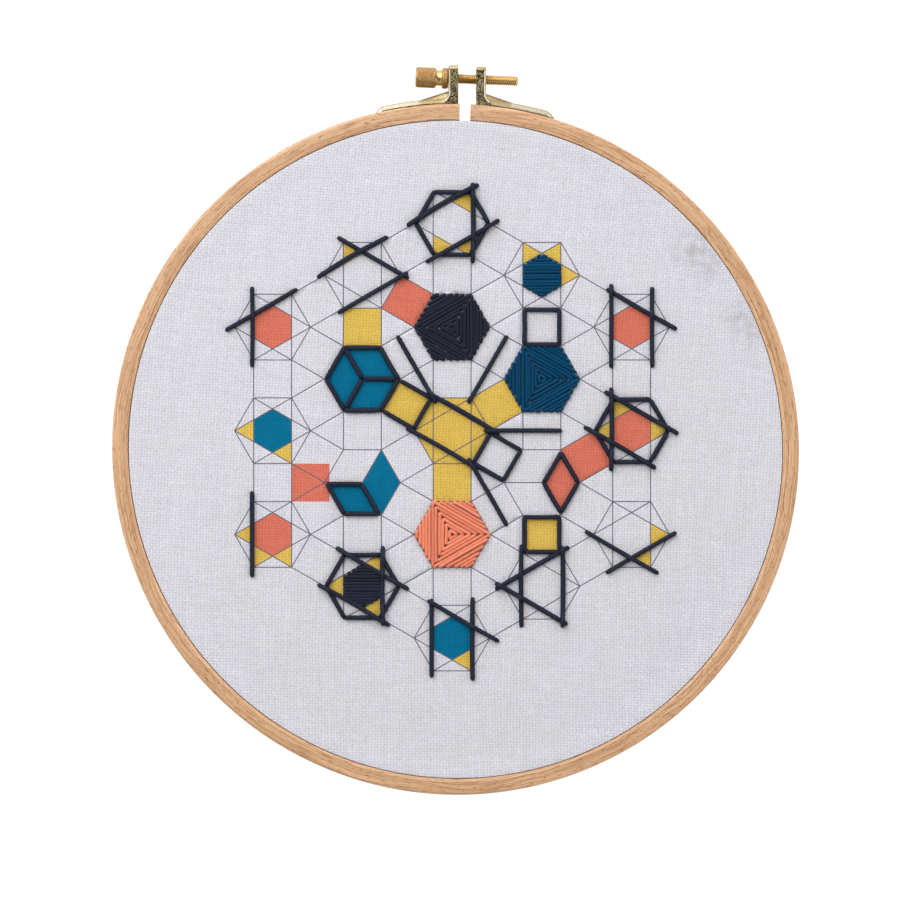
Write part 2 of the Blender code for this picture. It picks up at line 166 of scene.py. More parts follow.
# Printed colours: kind, ring and direction of the hexagon, the tile's own directions
YELLOW_TILES = (
    ("hexagon", 0, 0, (0,)),
    ("square", 0, 0, (150, -90, 30)),
    ("square", 1, -30, (-90,)),
    ("square", 1, 150, (90,)),
    ("tip", 2, 90, (60, 240, 300)),
    ("tip", 2, 0, (120, 180, 0)),
    ("tip", 2, 60, (60, 120, 0)),
    ("tip", 2, -150, (180, 240, 300)),
    ("tip", 2, -30, (300, 0)),
    ("tip", 2, -120, (60, 180, 300)),
    ("tip", 2, 180, (180, 300)),
    ("tip", 2, -90, (300,)),
    ("tip", 2, 120, (120,)),
)
TEAL_TILES = (
    ("rhombus", 1, 150, (180, 300, 60)),
    ("rhombus", 1, -150, (-120, 0)),
    ("heart", 2, -90, (0,)),
    ("heart", 2, 180, (0,)),
)
CORAL_TILES = (
    ("rhombus", 1, -30, (0,)),
    ("square", 1, 90, (150,)),
    ("square", 1, -150, (180,)),
    ("square", 1, -30, (30,)),
    ("heart", 2, 0, (0,)),
    ("heart", 2, 150, (0,)),
    ("heart", 2, 30, (0,)),
    ("heart", 2, -150, (0,)),
)

# Satin-stitched tiles: node, kind, ring and direction of its hexagon, the tile's own
# direction, colour
SATIN_TILES = (
    ("satin_navy_left", "rhombus", 1, 90, 120, "navy"),
    ("satin_navy_right", "rhombus", 1, 90, 0, "navy"),
    ("satin_navy_lower", "rhombus", 1, 90, 240, "navy"),
    ("satin_petrol_upper", "rhombus", 1, 30, 60, "petrol"),
    ("satin_petrol_left", "rhombus", 1, 30, 180, "petrol"),
    ("satin_petrol_lower", "rhombus", 1, 30, 300, "petrol"),
    ("satin_coral_upper", "rhombus", 1, -90, 60, "coral"),
    ("satin_coral_left", "rhombus", 1, -90, 180, "coral"),
    ("satin_coral_lower", "rhombus", 1, -90, 300, "coral"),
    ("satin_heart_navy", "heart", 2, -120, 0, "navy"),
    ("satin_heart_petrol", "heart", 2, 60, 0, "petrol"),
)

# Outlined tiles: node, kind, ring and direction, the tile's own direction, sides left out
LINED_TILES = (
    ("line_hexagon_upper_left", "hexagon", 1, 150, 0, ()),
    ("line_hexagon_top", "hexagon", 2, 90, 0, ()),
    ("line_hexagon_right", "hexagon", 2, 0, 0, ()),
    ("line_hexagon_lower_left", "hexagon", 2, -120, 0, ()),
    ("line_square_upper_left", "square", 0, 0, 150, (3,)),
    ("line_square_lower_right", "square", 0, 0, -30, ()),
    ("line_square_upper_right", "square", 1, 30, 90, ()),
    ("line_square_lower", "square", 1, -30, -90, ()),
    ("line_rhombus_right", "rhombus", 1, -30, 0, ()),
    ("line_rhombus_lower_left", "rhombus", 1, -150, -120, ()),
)

# Long loose stitches along the star lines: ring and direction, first corners
STAR_STITCHES = (
    (2, 0, (0, 2, 3)),
    (2, 90, (1, 4, 5)),
    (2, -120, (0, 3, 5)),
    (2, 150, (1, 2)),
    (2, -90, (2, 5, 0)),
    (2, 120, (0, 4, 1)),
    (2, -30, (4, 3)),
    (2, -60, (1, 2, 3, 5)),
    (2, -150, (2,)),
    (2, 30, (0, 5, 2)),
    (0, 0, (0, 3)),
)
SPOKE_DIRECTIONS = (60, 120, 0, -60)
CUBE_TILE = ("hexagon", 1, 150)   # the outlined tile with three spokes in it
CUBE_SPOKES = (0, 120, 240)

# Threads: a yarn's section, its strands and one strand's share of the outline, the length
# of one turn of its twist, the spacing of its rings and how far it takes to leave its hole
Yarn = namedtuple("Yarn", "width thickness strands lobe twist step rise")
SATIN = Yarn(1.18, 0.95, 3, (0.91, 0.98, 1.0, 0.98), 2.4, 0.22, 0.4)
FLOSS = Yarn(1.45, 1.15, 5, (0.88, 0.99, 0.99), 8.5, 0.45, 0.7)
REVERSE_STEP = 0.6                # spacing of the rings behind the cloth
CLIMB_STEPS = 4
THREAD_SINK = 0.35                # how far a thread's end goes into the cloth
HOLE_WIDTH = 0.72                 # a thread's share of its width in its hole
FIBRE_PLACES = (0, 50)            # where along the fibres' noise a thread starts
FIBRE_DRAW = 0.04                 # how far fibres are drawn out along a thread
FIBRE_TWIST = (1.5, 1.5, 12)      # how much finer their twist shows
FIBRE_SCALE = 6.5

# Where they lie: each kind of satin tile with its inset and its threads' angle from its own
# direction, then the outlines and the loose stitches beside their printed lines
SATIN_KINDS = {"rhombus": (0.12, 90), "heart": (0.22, 0)}
SATIN_SPACING = 0.97
SATIN_EDGE = 0.62                 # from a tile's side to the first thread along it
SHORTEST_SATIN = 1.3
LINE_INSET = 0.45
LINE_SHORTENING = 0.2
STAR_SHIFT = 0.45
STAR_OVERSHOOT = 2.2
SPOKE_OVERSHOOT = 1.5
CUBE_SPOKE_ENDS = (0.5, TILE - 1.4)
SHORTEST_REVERSE = 2.0            # floss behind the cloth from stitch to stitch

# How unevenly it is sewn: shares of the yarns' widths and of their tones, how far threads
# lie above each other, end too early or late, and stray or bow
SATIN_WIDTHS = (0.9, 1.04)
SATIN_TONES = (0.86, 1.1)
SATIN_LIFTS = (0.0, 0.16)
SATIN_ENDS = (-0.15, 0.15)
SATIN_STRAY = 0.06
FLOSS_WIDTHS = (0.94, 1.04)
FLOSS_TONES = (0.92, 1.08)
STAR_ENDS = (-0.6, 0.6)
LINE_BOW = 0.05
STAR_BOW = 0.18
SPOKE_BOW = 0.15

# Where floss passes over floss: the sine of the least angle and the least distance from a
# stitch's ends, how high it rises, and how far along it, by the sine and at most
LEAST_CROSSING = 0.15
HUMP_MARGIN = 0.3
HUMP_HEIGHT = 0.95 * FLOSS.thickness
HUMP_REACH = 1.1
HUMP_LONGEST = 3.0
FLOSS_TOP = FLOSS.thickness / 2 + 0.05     # height of a stitch's middle over the cloth

# Each floss: its colour in painted shade, in the grooves and on its shaded side, then its colour
# in the light, and its roughness
FLOSS_COLOURS = {
    "navy": ((0.003, 0.004, 0.007), (0.0195, 0.023, 0.040), 0.55),
    "petrol": ((0.0004, 0.014, 0.035), (0.0005, 0.056, 0.130), 0.5),
    "coral": ((0.34, 0.050, 0.018), (0.88, 0.28, 0.165), 0.55),
}

# Brackets: sizes of the pressed sheet, and how wide its bends are seen from the front
BRACKET_CLEARANCE = 0.3           # between hoop and strap, as in the solids
BRACKET_FLOOR = HOOP_RADIUS + BRACKET_CLEARANCE
STRAP_THICKNESS = 1.6
STRAP_RADIUS = BRACKET_FLOOR + STRAP_THICKNESS
STRAP_DROP = 1.6                  # length of the bent-down end
LUG_DEPTH = 2.9
LUG_CORNER = 1.8                  # inside radius where strap and lug meet
LUG_DROP = 0.4                    # the right-hand lug is bent a little lower
LUG_SHIFT = 0.2                   # the left-hand one stands a little further left
STRAP_SHIFT = 0.8                 # and both straps reach a little further left
LUG_CAP = 1.35                    # height of its smooth top
SHEET = 0.7
CAP_ROUNDING = 0.45
CAP_BEND = 0.95
WEB_BEND = 0.52
STRAP_BEND = 1.25
END_BEND = 1.6
END_ROUNDING = 0.9
BEND_DEPTH = 0.8
BEND_SECTION = ((0, 1), (0.14, 0.75), (0.42, 0.42), (1, 0))     # shares of width and depth
RIB_LENGTH = 9.4
RIB_RISE = 2.4
RIB_WIDTH = 2.6
RIB_FULLNESS = 0.6
RIB_COLUMNS = 16
RIB_ROWS = 10
SCREW_HOLE_RADIUS = 1.85
SCREW_HOLE_SIDES = 48
BEND_STEPS = 5
CORNER_STEPS = 12
STRAP_STEPS = 24
BEND_GROWTH = 3                   # how late a bend widens from the lug to the strap
JOINED = 0.002                    # points nearer than this are one
COLLAPSED = 0.001                 # and edges shorter than this go
BRACKET_SHARP = radians(35)
UPRIGHT = 0.75                    # least slope of a face that counts as part of the lug

# Plating: the order of the brackets' materials after the walls', and their colours, some
# of them at distances from the hoop's split. The walls turn a little paler from the lug to
# the strap; the rib's and the bends' colours are painted highlight and shade.
FLAT_PLATING = 1
HIGHLIGHT_PLATING = 2
RIB_PLATING = 3
BEND_PLATING = 4
PLATED_REACH = 30.0
WALL_TONES = ((6.0, (0.50, 0.42, 0.25)), (16.0, (0.47, 0.42, 0.29)))
# The rib: a painted highlight near the lug, painted shade towards its tail
RIB_TONES = ((6.0, (0.50, 0.43, 0.26)), (8.6, (0.395, 0.31, 0.158)), (13.2, (0.26, 0.195, 0.1)))
# The bends: a painted highlight near the lug and along the strap, painted shade beside the rib
BEND_TONES = ((6.0, (0.50, 0.42, 0.25)), (7.6, (0.385, 0.305, 0.16)),
              (13.0, (0.385, 0.305, 0.16)), (14.2, (0.52, 0.475, 0.365)))
STAINED = (0.66, 0.61, 0.52, 1)
# Pale along the lugs' upright outer bends: a painted highlight, with duller patches
PAINTED_HIGHLIGHT = (0.84, 0.78, 0.62, 1)
HIGHLIGHT_DULLER = (0.60, 0.50, 0.30, 1)
PIT = (0.022, 0.016, 0.005, 1)
PITTED = (0.42, 0.35, 0.20, 1)
PLAIN = (0.36, 0.31, 0.20, 1)
PLAIN_STRAP = ((8, 0), (12, 1))   # where the right-hand strap turns plain

# Thumb screw, along its own axis from the lug outwards
SCREW = frame["joints"][0]
SCREW_CLEARANCE = 0.02            # between its collar and the lug
ROD_RADIUS = 1.5
ROD_LENGTH = 20.6
ROD_POINT = 0.8
ROD_ROOT = 0.4                    # how far it goes into the head
ROD_SIDES = 36
THREAD_PITCH = 0.6
THREAD_STEPS = 8
THREAD_DEPTH = 0.24
THREAD_GROOVE_SHADE = 0.2                 # painted shade: how much darker its thread is in its grooves
DRUM_RADIUS = 3.0
DRUM_LENGTH = 6.1
NECK_RADIUS = 2.3
NECK_LENGTH = 1.65
COLLAR_RADIUS = 3.08
COLLAR_LENGTH = 1.95
HEAD_ROUNDING = 0.6
NECK_STEPS = 12
NECK_SHAPE = 5                    # how tightly it turns into the collar and the drum
DRUM_END = ((0.45 * DRUM_RADIUS, 0.0), (0.35, 0.12))     # radius and depth of its dished end
KNURLS = 26
KNURL_DEPTH = 0.16
KNURL_FLANK = 1 / 2.8             # width of a groove's side, as a share of the pitch
KNURL_STEP = 0.075
KNURL_START = 0.3                 # how far up the rounding it starts, as a share of it
KNURL_GROOVE_SHADE = 0.5                  # painted shade: how much darker the knurling is in its grooves
HEAD_SIDES = 10 * KNURLS
SCREW_SHARP = radians(40)

# Each brass: its palest and deepest colour, the scale of its tarnish, its least roughness
# and how much rougher the tarnish makes it
SCREW_BRASSES = (
    ("scene_brass", (0.78, 0.545, 0.243), (0.555, 0.347, 0.135), 900.0, 0.15, 0.2),
    ("scene_knurled_brass", (0.60, 0.375, 0.16), (0.355, 0.20, 0.075), 1500.0, 0.2, 0.3),
)

# Camera and light
CAMERA_X, CAMERA_Y = -1.63, -6.03
VIEW_WIDTH = 265.6
LENS = 240
SENSOR = 36
FARTHEST = 20                     # how far the camera sees, in metres
ROOM_LEVELS = ((0.0, 1.25), (0.4, 1.25), (0.62, 0.65), (0.80, 0.32), (0.93, 0.16))   # by height
ROOM_BLUE = 1.01
ROOM_STRENGTH = 0.88
ROOM_LEAN = 0.27                  # how much brighter it is beyond the top of the hoop
FLOOR_REACH = 2500
FLOOR_Z = -0.05
FLOOR_COLOUR = (0.12, 0.12, 0.12, 1)
FLOOR_GLOW = 0.97
LIGHTS = (                        # place and size in metres, power in watts
    ("key", (-0.34, 0.68, 0.76), 1.3, 13),
    ("fill", (0.9, -0.5, 0.9), 1.0, 3),
)

rng = np.random.default_rng(11)


# Meshes

def make_mesh(name, points, faces, smooth=True):
    """A mesh from points in millimetres."""
    mesh = bpy.data.meshes.new(name)
    mesh.from_pydata((np.asarray(points, float) * MM).tolist(), [], faces)
    if smooth:
        mesh.shade_smooth()
    return mesh


def unpack_mesh(name, bm):
    """A new mesh from an edited one, which is freed."""
    mesh = bpy.data.meshes.new(name)
    bm.to_mesh(mesh)
    bm.free()
    return mesh


def add_object(name, data):
    made = bpy.data.objects.new(name, data)
    bpy.context.scene.collection.objects.link(made)
    return made


def add_piece(name, mesh, materials, nodes=(), body="hoop"):
    """Add a mesh as a piece that rides on a body and stands for some CAD nodes."""
    piece = add_object(name, mesh)
    for item in materials:
        mesh.materials.append(item)
    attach(piece, body)
    if nodes:
        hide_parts(*nodes)
    return piece


def set_attribute(mesh, name, values, kind="FLOAT"):
    """A named value or vector on each point of a mesh."""
    attribute = mesh.attributes.new(name, kind, "POINT")
    field = "vector" if kind == "FLOAT_VECTOR" else "value"
    attribute.data.foreach_set(field, np.asarray(values, np.float32).ravel())


def ring_faces(rings, sides, start=0, wrap_rings=False):
    """Quads between neighbouring rings of points, each ring closed."""
    index = start + np.arange(rings * sides).reshape(rings, sides)
    if wrap_rings:
        index = np.vstack([index, index[:1]])
    here, there = index[:-1], index[1:]
    quads = [here, np.roll(here, -1, 1), np.roll(there, -1, 1), there]
    return np.stack(quads, -1).reshape(-1, 4).tolist()


def capped(rows, start=0):
    """Faces of a stack of rings closed at both ends, its points beginning at `start`."""
    count, sides = rows.shape[:2]
    last = start + (count - 1) * sides
    faces = ring_faces(count, sides, start)
    return faces + [list(range(start, start + sides))[::-1], list(range(last, last + sides))]


def arc(centre, radius, start, end, steps):
    """Points on an arc in a plane, from one angle to another in radians."""
    turns = [start + (end - start) * i / steps for i in range(steps + 1)]
    return [(centre[0] + radius * cos(a), centre[1] + radius * sin(a)) for a in turns]


# Materials

def set_stops(ramp, stops):
    """Colours, or grey levels, at places along a colour ramp."""
    while len(ramp.elements) < len(stops):
        ramp.elements.new(0.5)
    for element, (place, level) in zip(ramp.elements, stops):
        element.position = place
        element.color = level if isinstance(level, tuple) else (level, level, level, 1)


class Value:
    """A node's output that formulas can be written with."""

    def __init__(self, nodes, socket):
        self.nodes = nodes
        self.socket = socket

    def __add__(self, other):
        return self.nodes.math("ADD", self, other)

    def __sub__(self, other):
        return self.nodes.math("SUBTRACT", self, other)

    def __rsub__(self, other):
        return self.nodes.math("SUBTRACT", other, self)

    def __mul__(self, other):
        return self.nodes.math("MULTIPLY", self, other)

    def __truediv__(self, other):
        return self.nodes.math("DIVIDE", self, other)

    def __abs__(self):
        return self.nodes.math("ABSOLUTE", self)


class Nodes:
    """A node tree, with short ways to add nodes."""

    def __init__(self, tree):
        self.tree = tree

    def put(self, socket, value):
        """Set a socket to a constant, or link it to another node's value."""
        if isinstance(value, Value):
            self.tree.links.new(value.socket, socket)
        else:
            socket.default_value = value

    def node(self, kind, inputs=(), output=0, **settings):
        """One output of a new node, whose inputs are given by name or in order."""
        made = self.tree.nodes.new("ShaderNode" + kind)
        for key, value in settings.items():
            setattr(made, key, value)
        for key, value in inputs.items() if isinstance(inputs, dict) else enumerate(inputs):
            self.put(made.inputs[key], value)
        return Value(self, made.outputs[output])

    def math(self, operation, *values, clamp=False):
        return self.node("Math", values, operation=operation, use_clamp=clamp)

    def vector(self, operation, *values):
        output = "Value" if operation == "LENGTH" else "Vector"
        return self.node("VectorMath", values, output, operation=operation)

    def mix(self, factor, first, second, blend="MIX"):
        inputs = {"Factor": factor, "A": first, "B": second}
        return self.node("Mix", inputs, "Result", data_type="RGBA", blend_type=blend)

    def shade(self, colour, tone):
        return self.mix(1.0, colour, tone, "MULTIPLY")

    def noise(self, place, scale, detail=2.0, roughness=0.5):
        inputs = {"Vector": place, "Scale": scale, "Detail": detail, "Roughness": roughness}
        return self.node("TexNoise", inputs, "Fac")

    def ramp(self, value, *stops):
        """A factor or colour read off straight stretches between (place, level) stops."""
        found = self.node("ValToRGB", {"Fac": value}, "Color")
        set_stops(found.socket.node.color_ramp, stops)
        return found

    def split(self, vector):
        first = self.node("SeparateXYZ", [vector])
        return [Value(self, socket) for socket in first.socket.node.outputs]

    def join(self, x, y, z):
        return self.node("CombineXYZ", (x, y, z))


class Surface(Nodes):
    """One material, its shader's constant settings given with _ for each space."""

    def __init__(self, name, **settings):
        self.material = bpy.data.materials.new(name)
        self.material.use_nodes = True
        super().__init__(self.material.node_tree)
        self.shader = self.tree.nodes["Principled BSDF"]
        for key, value in settings.items():
            self.put(self.shader.inputs[key.replace("_", " ")], value)

    def attribute(self, name, output="Fac"):
        return self.node("Attribute", (), output, attribute_name=name)

    def place(self):
        """A point's place on the object, in metres."""
        return self.node("TexCoord", (), "Object")

    def colour(self, value):
        self.put(self.shader.inputs["Base Color"], value)

    def roughness(self, value):
        self.put(self.shader.inputs["Roughness"], value)

    def bump(self, height, strength, distance):
        inputs = {"Height": height, "Strength": strength, "Distance": distance * MM}
        self.put(self.shader.inputs["Normal"], self.node("Bump", inputs, "Normal"))


def weave(surface, flat):
    """Height of a plain weave over the cloth's flat coordinates, and its tone: darker in
    the gaps between its threads and uneven from thread to thread."""
    drift = surface.noise(flat, 0.05, detail=1.0)
    x, y, _ = surface.split(flat)
    u = (x - (y * WARP_BEND + WARP_LEAN) * y + drift) / WARP_PITCH
    v = ((y * WEFT_BEND + WEFT_LEAN) * x + y - drift) / WEFT_PITCH
    wave_u = surface.math("COSINE", u * pi)
    wave_v = surface.math("COSINE", v * pi)
    crossing = wave_u * wave_v * CROSSING_RISE
    height = surface.math("MAXIMUM", abs(wave_u) + crossing, abs(wave_v) - crossing)

    specks = surface.ramp(surface.noise(flat, 1.3), (0.35, 0.5), (0.7, 1.8))
    gaps = (1 - abs(wave_u)) * WARP_GAP + (1 - abs(wave_v)) * WEFT_GAP
    slub_u = surface.noise(surface.join(surface.math("ROUND", u), y * SLUB_DRAW, 0.0), 1.7)
    slub_v = surface.noise(surface.join(x * SLUB_DRAW, surface.math("ROUND", v), 0.0), 1.7)
    patches = surface.noise(flat, 0.55, detail=3.0)
    fuzz = surface.noise(flat, 2.6, detail=1.0)
    tone = 1 - gaps * specks + crossing * CROSSING_TONE
    tone *= surface.ramp(slub_u * slub_v, (0.1, 0.93), (0.45, 1.05))
    tone *= surface.ramp(patches, (0.3, 0.98), (0.7, 1.015))
    tone *= surface.ramp(fuzz, (0.3, 0.965), (0.7, 1.025))
    return height / (1 + CROSSING_RISE), tone


def smudge(surface, flat):
    """Two faint grey marks near the right-hand edge, as a factor from 0 to 1."""
    patchy = surface.ramp(surface.noise(flat, 0.35, detail=4.0), (0.35, 0), (0.7, 1))
    marks = []
    for x, y, reach in SMUDGES:
        far = surface.vector("LENGTH", surface.vector("SUBTRACT", flat, (x, y, 0)))
        near = surface.math("MULTIPLY_ADD", far, -SMUDGE_FADE / reach, SMUDGE_FADE, clamp=True)
        marks.append(near)
    return surface.math("MAXIMUM", *marks) * patchy * SMUDGE_SHARE


def cloth_material(name, colour):
    surface = Surface(name, Roughness=0.9, Specular_IOR_Level=0.1)
    flat = surface.attribute("flat", "Vector")
    height, tone = weave(surface, flat)
    clean = surface.shade((*colour, 1), tone)
    surface.colour(surface.mix(smudge(surface, flat), clean, SMUDGE_COLOUR))
    surface.bump(height, 0.8, 0.12)
    return surface.material


def wood_material(name, cut_angle):
    """Beech bent along its grain, with its coordinates running round the hoop."""
    surface = Surface(name, Roughness=0.42)
    place = surface.vector("MULTIPLY_ADD", surface.place(), (1 / MM,) * 3, (0, -CENTRE_Y, 0))
    x, y, z = surface.split(place)
    radius = surface.math("SQRT", x * x + y * y)
    cut_x = x * cos(cut_angle) + y * sin(cut_angle)
    cut_y = y * cos(cut_angle) - x * sin(cut_angle)
    along = surface.math("ARCTAN2", cut_y, cut_x * -1.0) * HOOP_RADIUS
    wander = surface.noise(surface.join(along / WOOD_WANDER_LENGTH, 0.0, 0.0), 1.0)
    grain = surface.join(along, radius + wander * WOOD_WANDER, z)
    colour, levels, shares = WOOD_LIGHT, {}, {}
    for kind, length, width, detail, (low, high, most), deeper in WOOD_MARKS:
        stretched = surface.vector("MULTIPLY", grain, (1 / length, 1 / width, 0.6 / width))
        levels[kind] = surface.noise(stretched, 1.0, detail)
        shares[kind] = surface.ramp(levels[kind], (low, 0), (high, most))
        colour = surface.mix(shares[kind], colour, deeper)
    # The tone attribute paints shade into the outer hoop's scored line and a highlight onto its
    # chamfer
    surface.colour(surface.shade(colour, surface.attribute("tone")))
    surface.bump(levels["lines"] - shares["pores"], 0.25, 0.08)
    return surface.material


def thread_material(name, low, high, roughness):
    """Cotton floss, with shade painted into the grooves between its plies and strands, on its
    underside and near its holes.
    """
    surface = Surface(name, Roughness=roughness, Specular_IOR_Level=0.08)
    fibre = surface.attribute("fibre", "Vector")
    twist = surface.noise(surface.vector("MULTIPLY", fibre, FIBRE_TWIST), FIBRE_SCALE)
    fibres = surface.noise(fibre, FIBRE_SCALE) - 0.3 + twist * 0.6
    # depth is painted shade: low is the shaded colour and high the lit one
    level = (fibres - 0.5) * 0.7 + surface.attribute("depth")
    colour = surface.mix(surface.math("MAXIMUM", level, 0.0), (*low, 1), (*high, 1))
    surface.colour(surface.shade(colour, surface.attribute("tone")))
    surface.bump(fibres, 0.5, 0.08)
    return surface.material


def turned_brass(name, light, deep, scale, roughness, spread):
    """A brass of the screw, tarnished in patches, with shade painted into its grooves."""
    surface = Surface(name, Metallic=1.0)
    tarnish = surface.noise(surface.place(), scale, detail=3.0)
    colour = surface.mix(tarnish, (*light, 1), (*deep, 1))
    # The tone attribute is painted shade in the knurl's and the thread's grooves
    surface.colour(surface.shade(colour, surface.attribute("tone")))
    surface.roughness(tarnish * spread + roughness)
    return surface.material


def bright_plating(name, tones):
    """A bracket's outer faces, with colours at some distances from the hoop's split, which on the
    rib and the bends are painted highlight and shade.
    """
    surface = Surface(name, Metallic=1.0)
    place = surface.place()
    stains = surface.noise(place, 1200.0, detail=3.0)
    from_split = abs(surface.split(place)[0] - SPLIT_X * MM) / (PLATED_REACH * MM)
    stops = [(far / PLATED_REACH, (*colour, 1)) for far, colour in tones]
    colour = surface.ramp(from_split, *stops)
    surface.colour(surface.mix(stains, colour, STAINED, "MULTIPLY"))
    surface.roughness(stains * 0.2 + 0.42)
    surface.bump(surface.noise(place, 5000.0, detail=3.0), 0.25, 0.05)
    return surface.material


def dull_plating():
    """The brackets' flat front and back faces: dark and pitted, but for the right-hand
    strap."""
    surface = Surface("scene_pitted_brass", Metallic=1.0)
    place = surface.place()
    pits = surface.noise(place, 3000.0, detail=3.0, roughness=0.65)
    grain = surface.ramp(pits, (0.44, 0), (0.60, 1))
    broad = surface.ramp(surface.noise(place, 450.0, detail=1.0), (0.35, 0.7), (0.65, 1.1))
    pitted = surface.shade(surface.mix(grain, PIT, PITTED), broad)
    plain = [((SPLIT_X + far) / PLATED_REACH, level) for far, level in PLAIN_STRAP]
    along = surface.split(place)[0] / (PLATED_REACH * MM)
    surface.colour(surface.mix(surface.ramp(along, *plain), pitted, PLAIN))
    surface.roughness(0.55 - grain * 0.15)
    surface.bump(pits, 0.8, 0.15)
    return surface.material


def edge_plating():
    """The lugs' upright outer bends, pale as a painted highlight, with duller patches."""
    surface = Surface("scene_highlight_brass", Metallic=1.0, Roughness=0.3)
    stains = surface.ramp(surface.noise(surface.place(), 900.0), (0.5, 0), (0.75, 0.6))
    surface.colour(surface.mix(stains, PAINTED_HIGHLIGHT, HIGHLIGHT_DULLER))
    return surface.material


# Hoops

def rounded_section(inner, outer, high, rounding, edge):
    """A ring's cross-section, anticlockwise from its top outer edge: each point's radius,
    height and tone, where the tone is painted shade or a painted highlight."""
    steps = ROUNDING_STEPS
    top = arc((outer - rounding, high - rounding), rounding, 0, pi / 2, steps)
    bottom = arc((outer - rounding, rounding), rounding, 3 * pi / 2, 2 * pi, steps)
    points = [(*place, 1.0) for place in top]
    points += [(inner + across, high - down, tone) for across, down, tone in edge]
    points += [(inner + across, down, tone) for across, down, tone in reversed(edge)]
    return np.array(points + [(*place, 1.0) for place in bottom])


def springing(angle):
    """How far the hoops lie outside a true circle in some direction."""
    return SPRING * cos(2 * (angle - SPRING_ANGLE))


def sweep_ring(section, angles, closed):
    """A section carried round the hoops' centre, with flat ends where it isn't closed."""
    rings = []
    for angle in angles:
        radius = section[:, 0] + springing(angle)
        x = radius * cos(angle)
        y = radius * sin(angle) + CENTRE_Y
        rings.append(np.stack([x, y, section[:, 1]], -1))
    rings = np.array(rings)
    faces = ring_faces(*rings.shape[:2], wrap_rings=True) if closed else capped(rings)
    return rings.reshape(-1, 3), faces


def add_hoop(name, wood, node, section, angles, closed):
    points, faces = sweep_ring(section, angles, closed)
    mesh = make_mesh(name, points, faces)
    mesh.set_sharp_from_angle(angle=HOOP_SHARP)
    # Tones along the section: painted shade and highlight on the wood
    set_attribute(mesh, "tone", np.tile(section[:, 2], len(angles)))
    return add_piece(name, mesh, [wood], [node])


def build_outer_hoop(wood):
    section = rounded_section(HOOP_RADIUS - HOOP_WALL, HOOP_RADIUS, HOOP_HEIGHT,
                              HOOP_ROUNDING, HOOP_EDGE)
    middle = HOOP_RADIUS - HOOP_WALL / 2
    first = atan2(middle, SPLIT_X - SPLIT_WIDTH / 2)
    last = atan2(middle, SPLIT_X + SPLIT_WIDTH / 2) + 2 * pi
    angles = np.linspace(first, last, RING_STEPS)
    return add_hoop("wood_outer_hoop", wood, "outer_hoop", section, angles, False)


def build_inner_hoop(wood):
    rounding = arc((INNER_ROUNDING,) * 2, INNER_ROUNDING, -pi / 2, -pi, ROUNDING_STEPS)
    section = rounded_section(INNER_RADIUS - HOOP_WALL, INNER_RADIUS, INNER_HEIGHT,
                              INNER_ROUNDING, [(*place, 1.0) for place in rounding])
    angles = np.linspace(0, 2 * pi, RING_STEPS, endpoint=False)
    return add_hoop("wood_inner_hoop", wood, "inner_hoop", section, angles, True)


# Design

def polar(distance, angle):
    """A step in the plane of the cloth, from a distance and an angle in degrees."""
    return distance * Vector((cos(radians(angle)), sin(radians(angle)), 0))


def cell_centre(ring, direction):
    """The middle of a hexagon, which is nearer along the second ring's sides."""
    steps = sqrt(3) if ring == 2 and direction in SIDE_DIRECTIONS else ring
    return DESIGN_CENTRE + polar(steps * RING_STEP * TILE, direction)


def tile_corners(kind, ring, direction, facing, inset=0.0):
    """Corners of one tile, anticlockwise, drawn in by the same inset along each side."""
    offset, corners = TILE_KINDS[kind]
    middle = cell_centre(ring, direction) + polar(offset * TILE, facing)
    corners = [polar(distance * TILE, angle + facing) for distance, angle in corners]
    if not inset:
        return [middle + corner for corner in corners]
    side = (corners[1] - corners[0]).normalized()
    to_side = (corners[0] - corners[0].dot(side) * side).length
    return [middle + corner * (1 - inset / to_side) for corner in corners]


def star_cell(ring, direction):
    """The tiles of one hexagon with a six-pointed star in it."""
    tiles = [("hexagon", ring, direction, 0), ("heart", ring, direction, 0)]
    return tiles + [("tip", ring, direction, facing) for facing in range(0, 360, 60)]


def printed_tiles():
    """Every tile whose outline is printed."""
    tiles = star_cell(0, 0)
    for angle in CORNER_DIRECTIONS:
        tiles.append(("square", 0, 0, angle))
        tiles.append(("hexagon", 1, angle, 0))
        tiles += [("rhombus", 1, angle, angle + turn) for turn in (30, 150, 270)]
        tiles += [("square", 1, angle, angle + turn) for turn in (0, 60, -60)]
        tiles += [("triangle", 1, angle, angle + turn) for turn in (30, -30)]
        tiles += star_cell(2, angle)
    for angle in SIDE_DIRECTIONS:
        tiles.append(("triangle", 0, 0, angle))
        tiles.append(("square", 1, angle + 30, angle - 90))
        tiles += [("square", 2, angle, angle + turn) for turn in (90, -90)]
        tiles += star_cell(2, angle)
    return tiles


def printed_edges():
    """Each printed line once, as its two ends."""
    edges = {}
    for kind, ring, direction, facing in printed_tiles():
        corners = tile_corners(kind, ring, direction, facing)
        for here, there in zip(corners, corners[1:] + corners[:1]):
            middle = (here + there) / 2
            edges[(round(middle.x, 1), round(middle.y, 1))] = (here, there)
    return list(edges.values())


def strip(here, there, width):
    """A thin rectangle along a line, anticlockwise."""
    along = (there - here).normalized()
    out = Vector((along.y, -along.x, 0)) * width / 2
    here, there = here - along * width / 4, there + along * width / 4
    return [here + out, there + out, there - out, here - out]


# Cloth

def print_layers():
    """Outlines cut into the cloth's face, each with its material; later ones lie on top."""
    layers = []
    for index, tiles in enumerate((YELLOW_TILES, TEAL_TILES, CORAL_TILES), 1):
        for kind, ring, direction, facings in tiles:
            for facing in facings:
                layers.append((tile_corners(kind, ring, direction, facing), index))
    lines = list(PRINT_COLOURS).index("print_line")
    return layers + [(strip(*ends, PRINT_LINE), lines) for ends in printed_edges()]


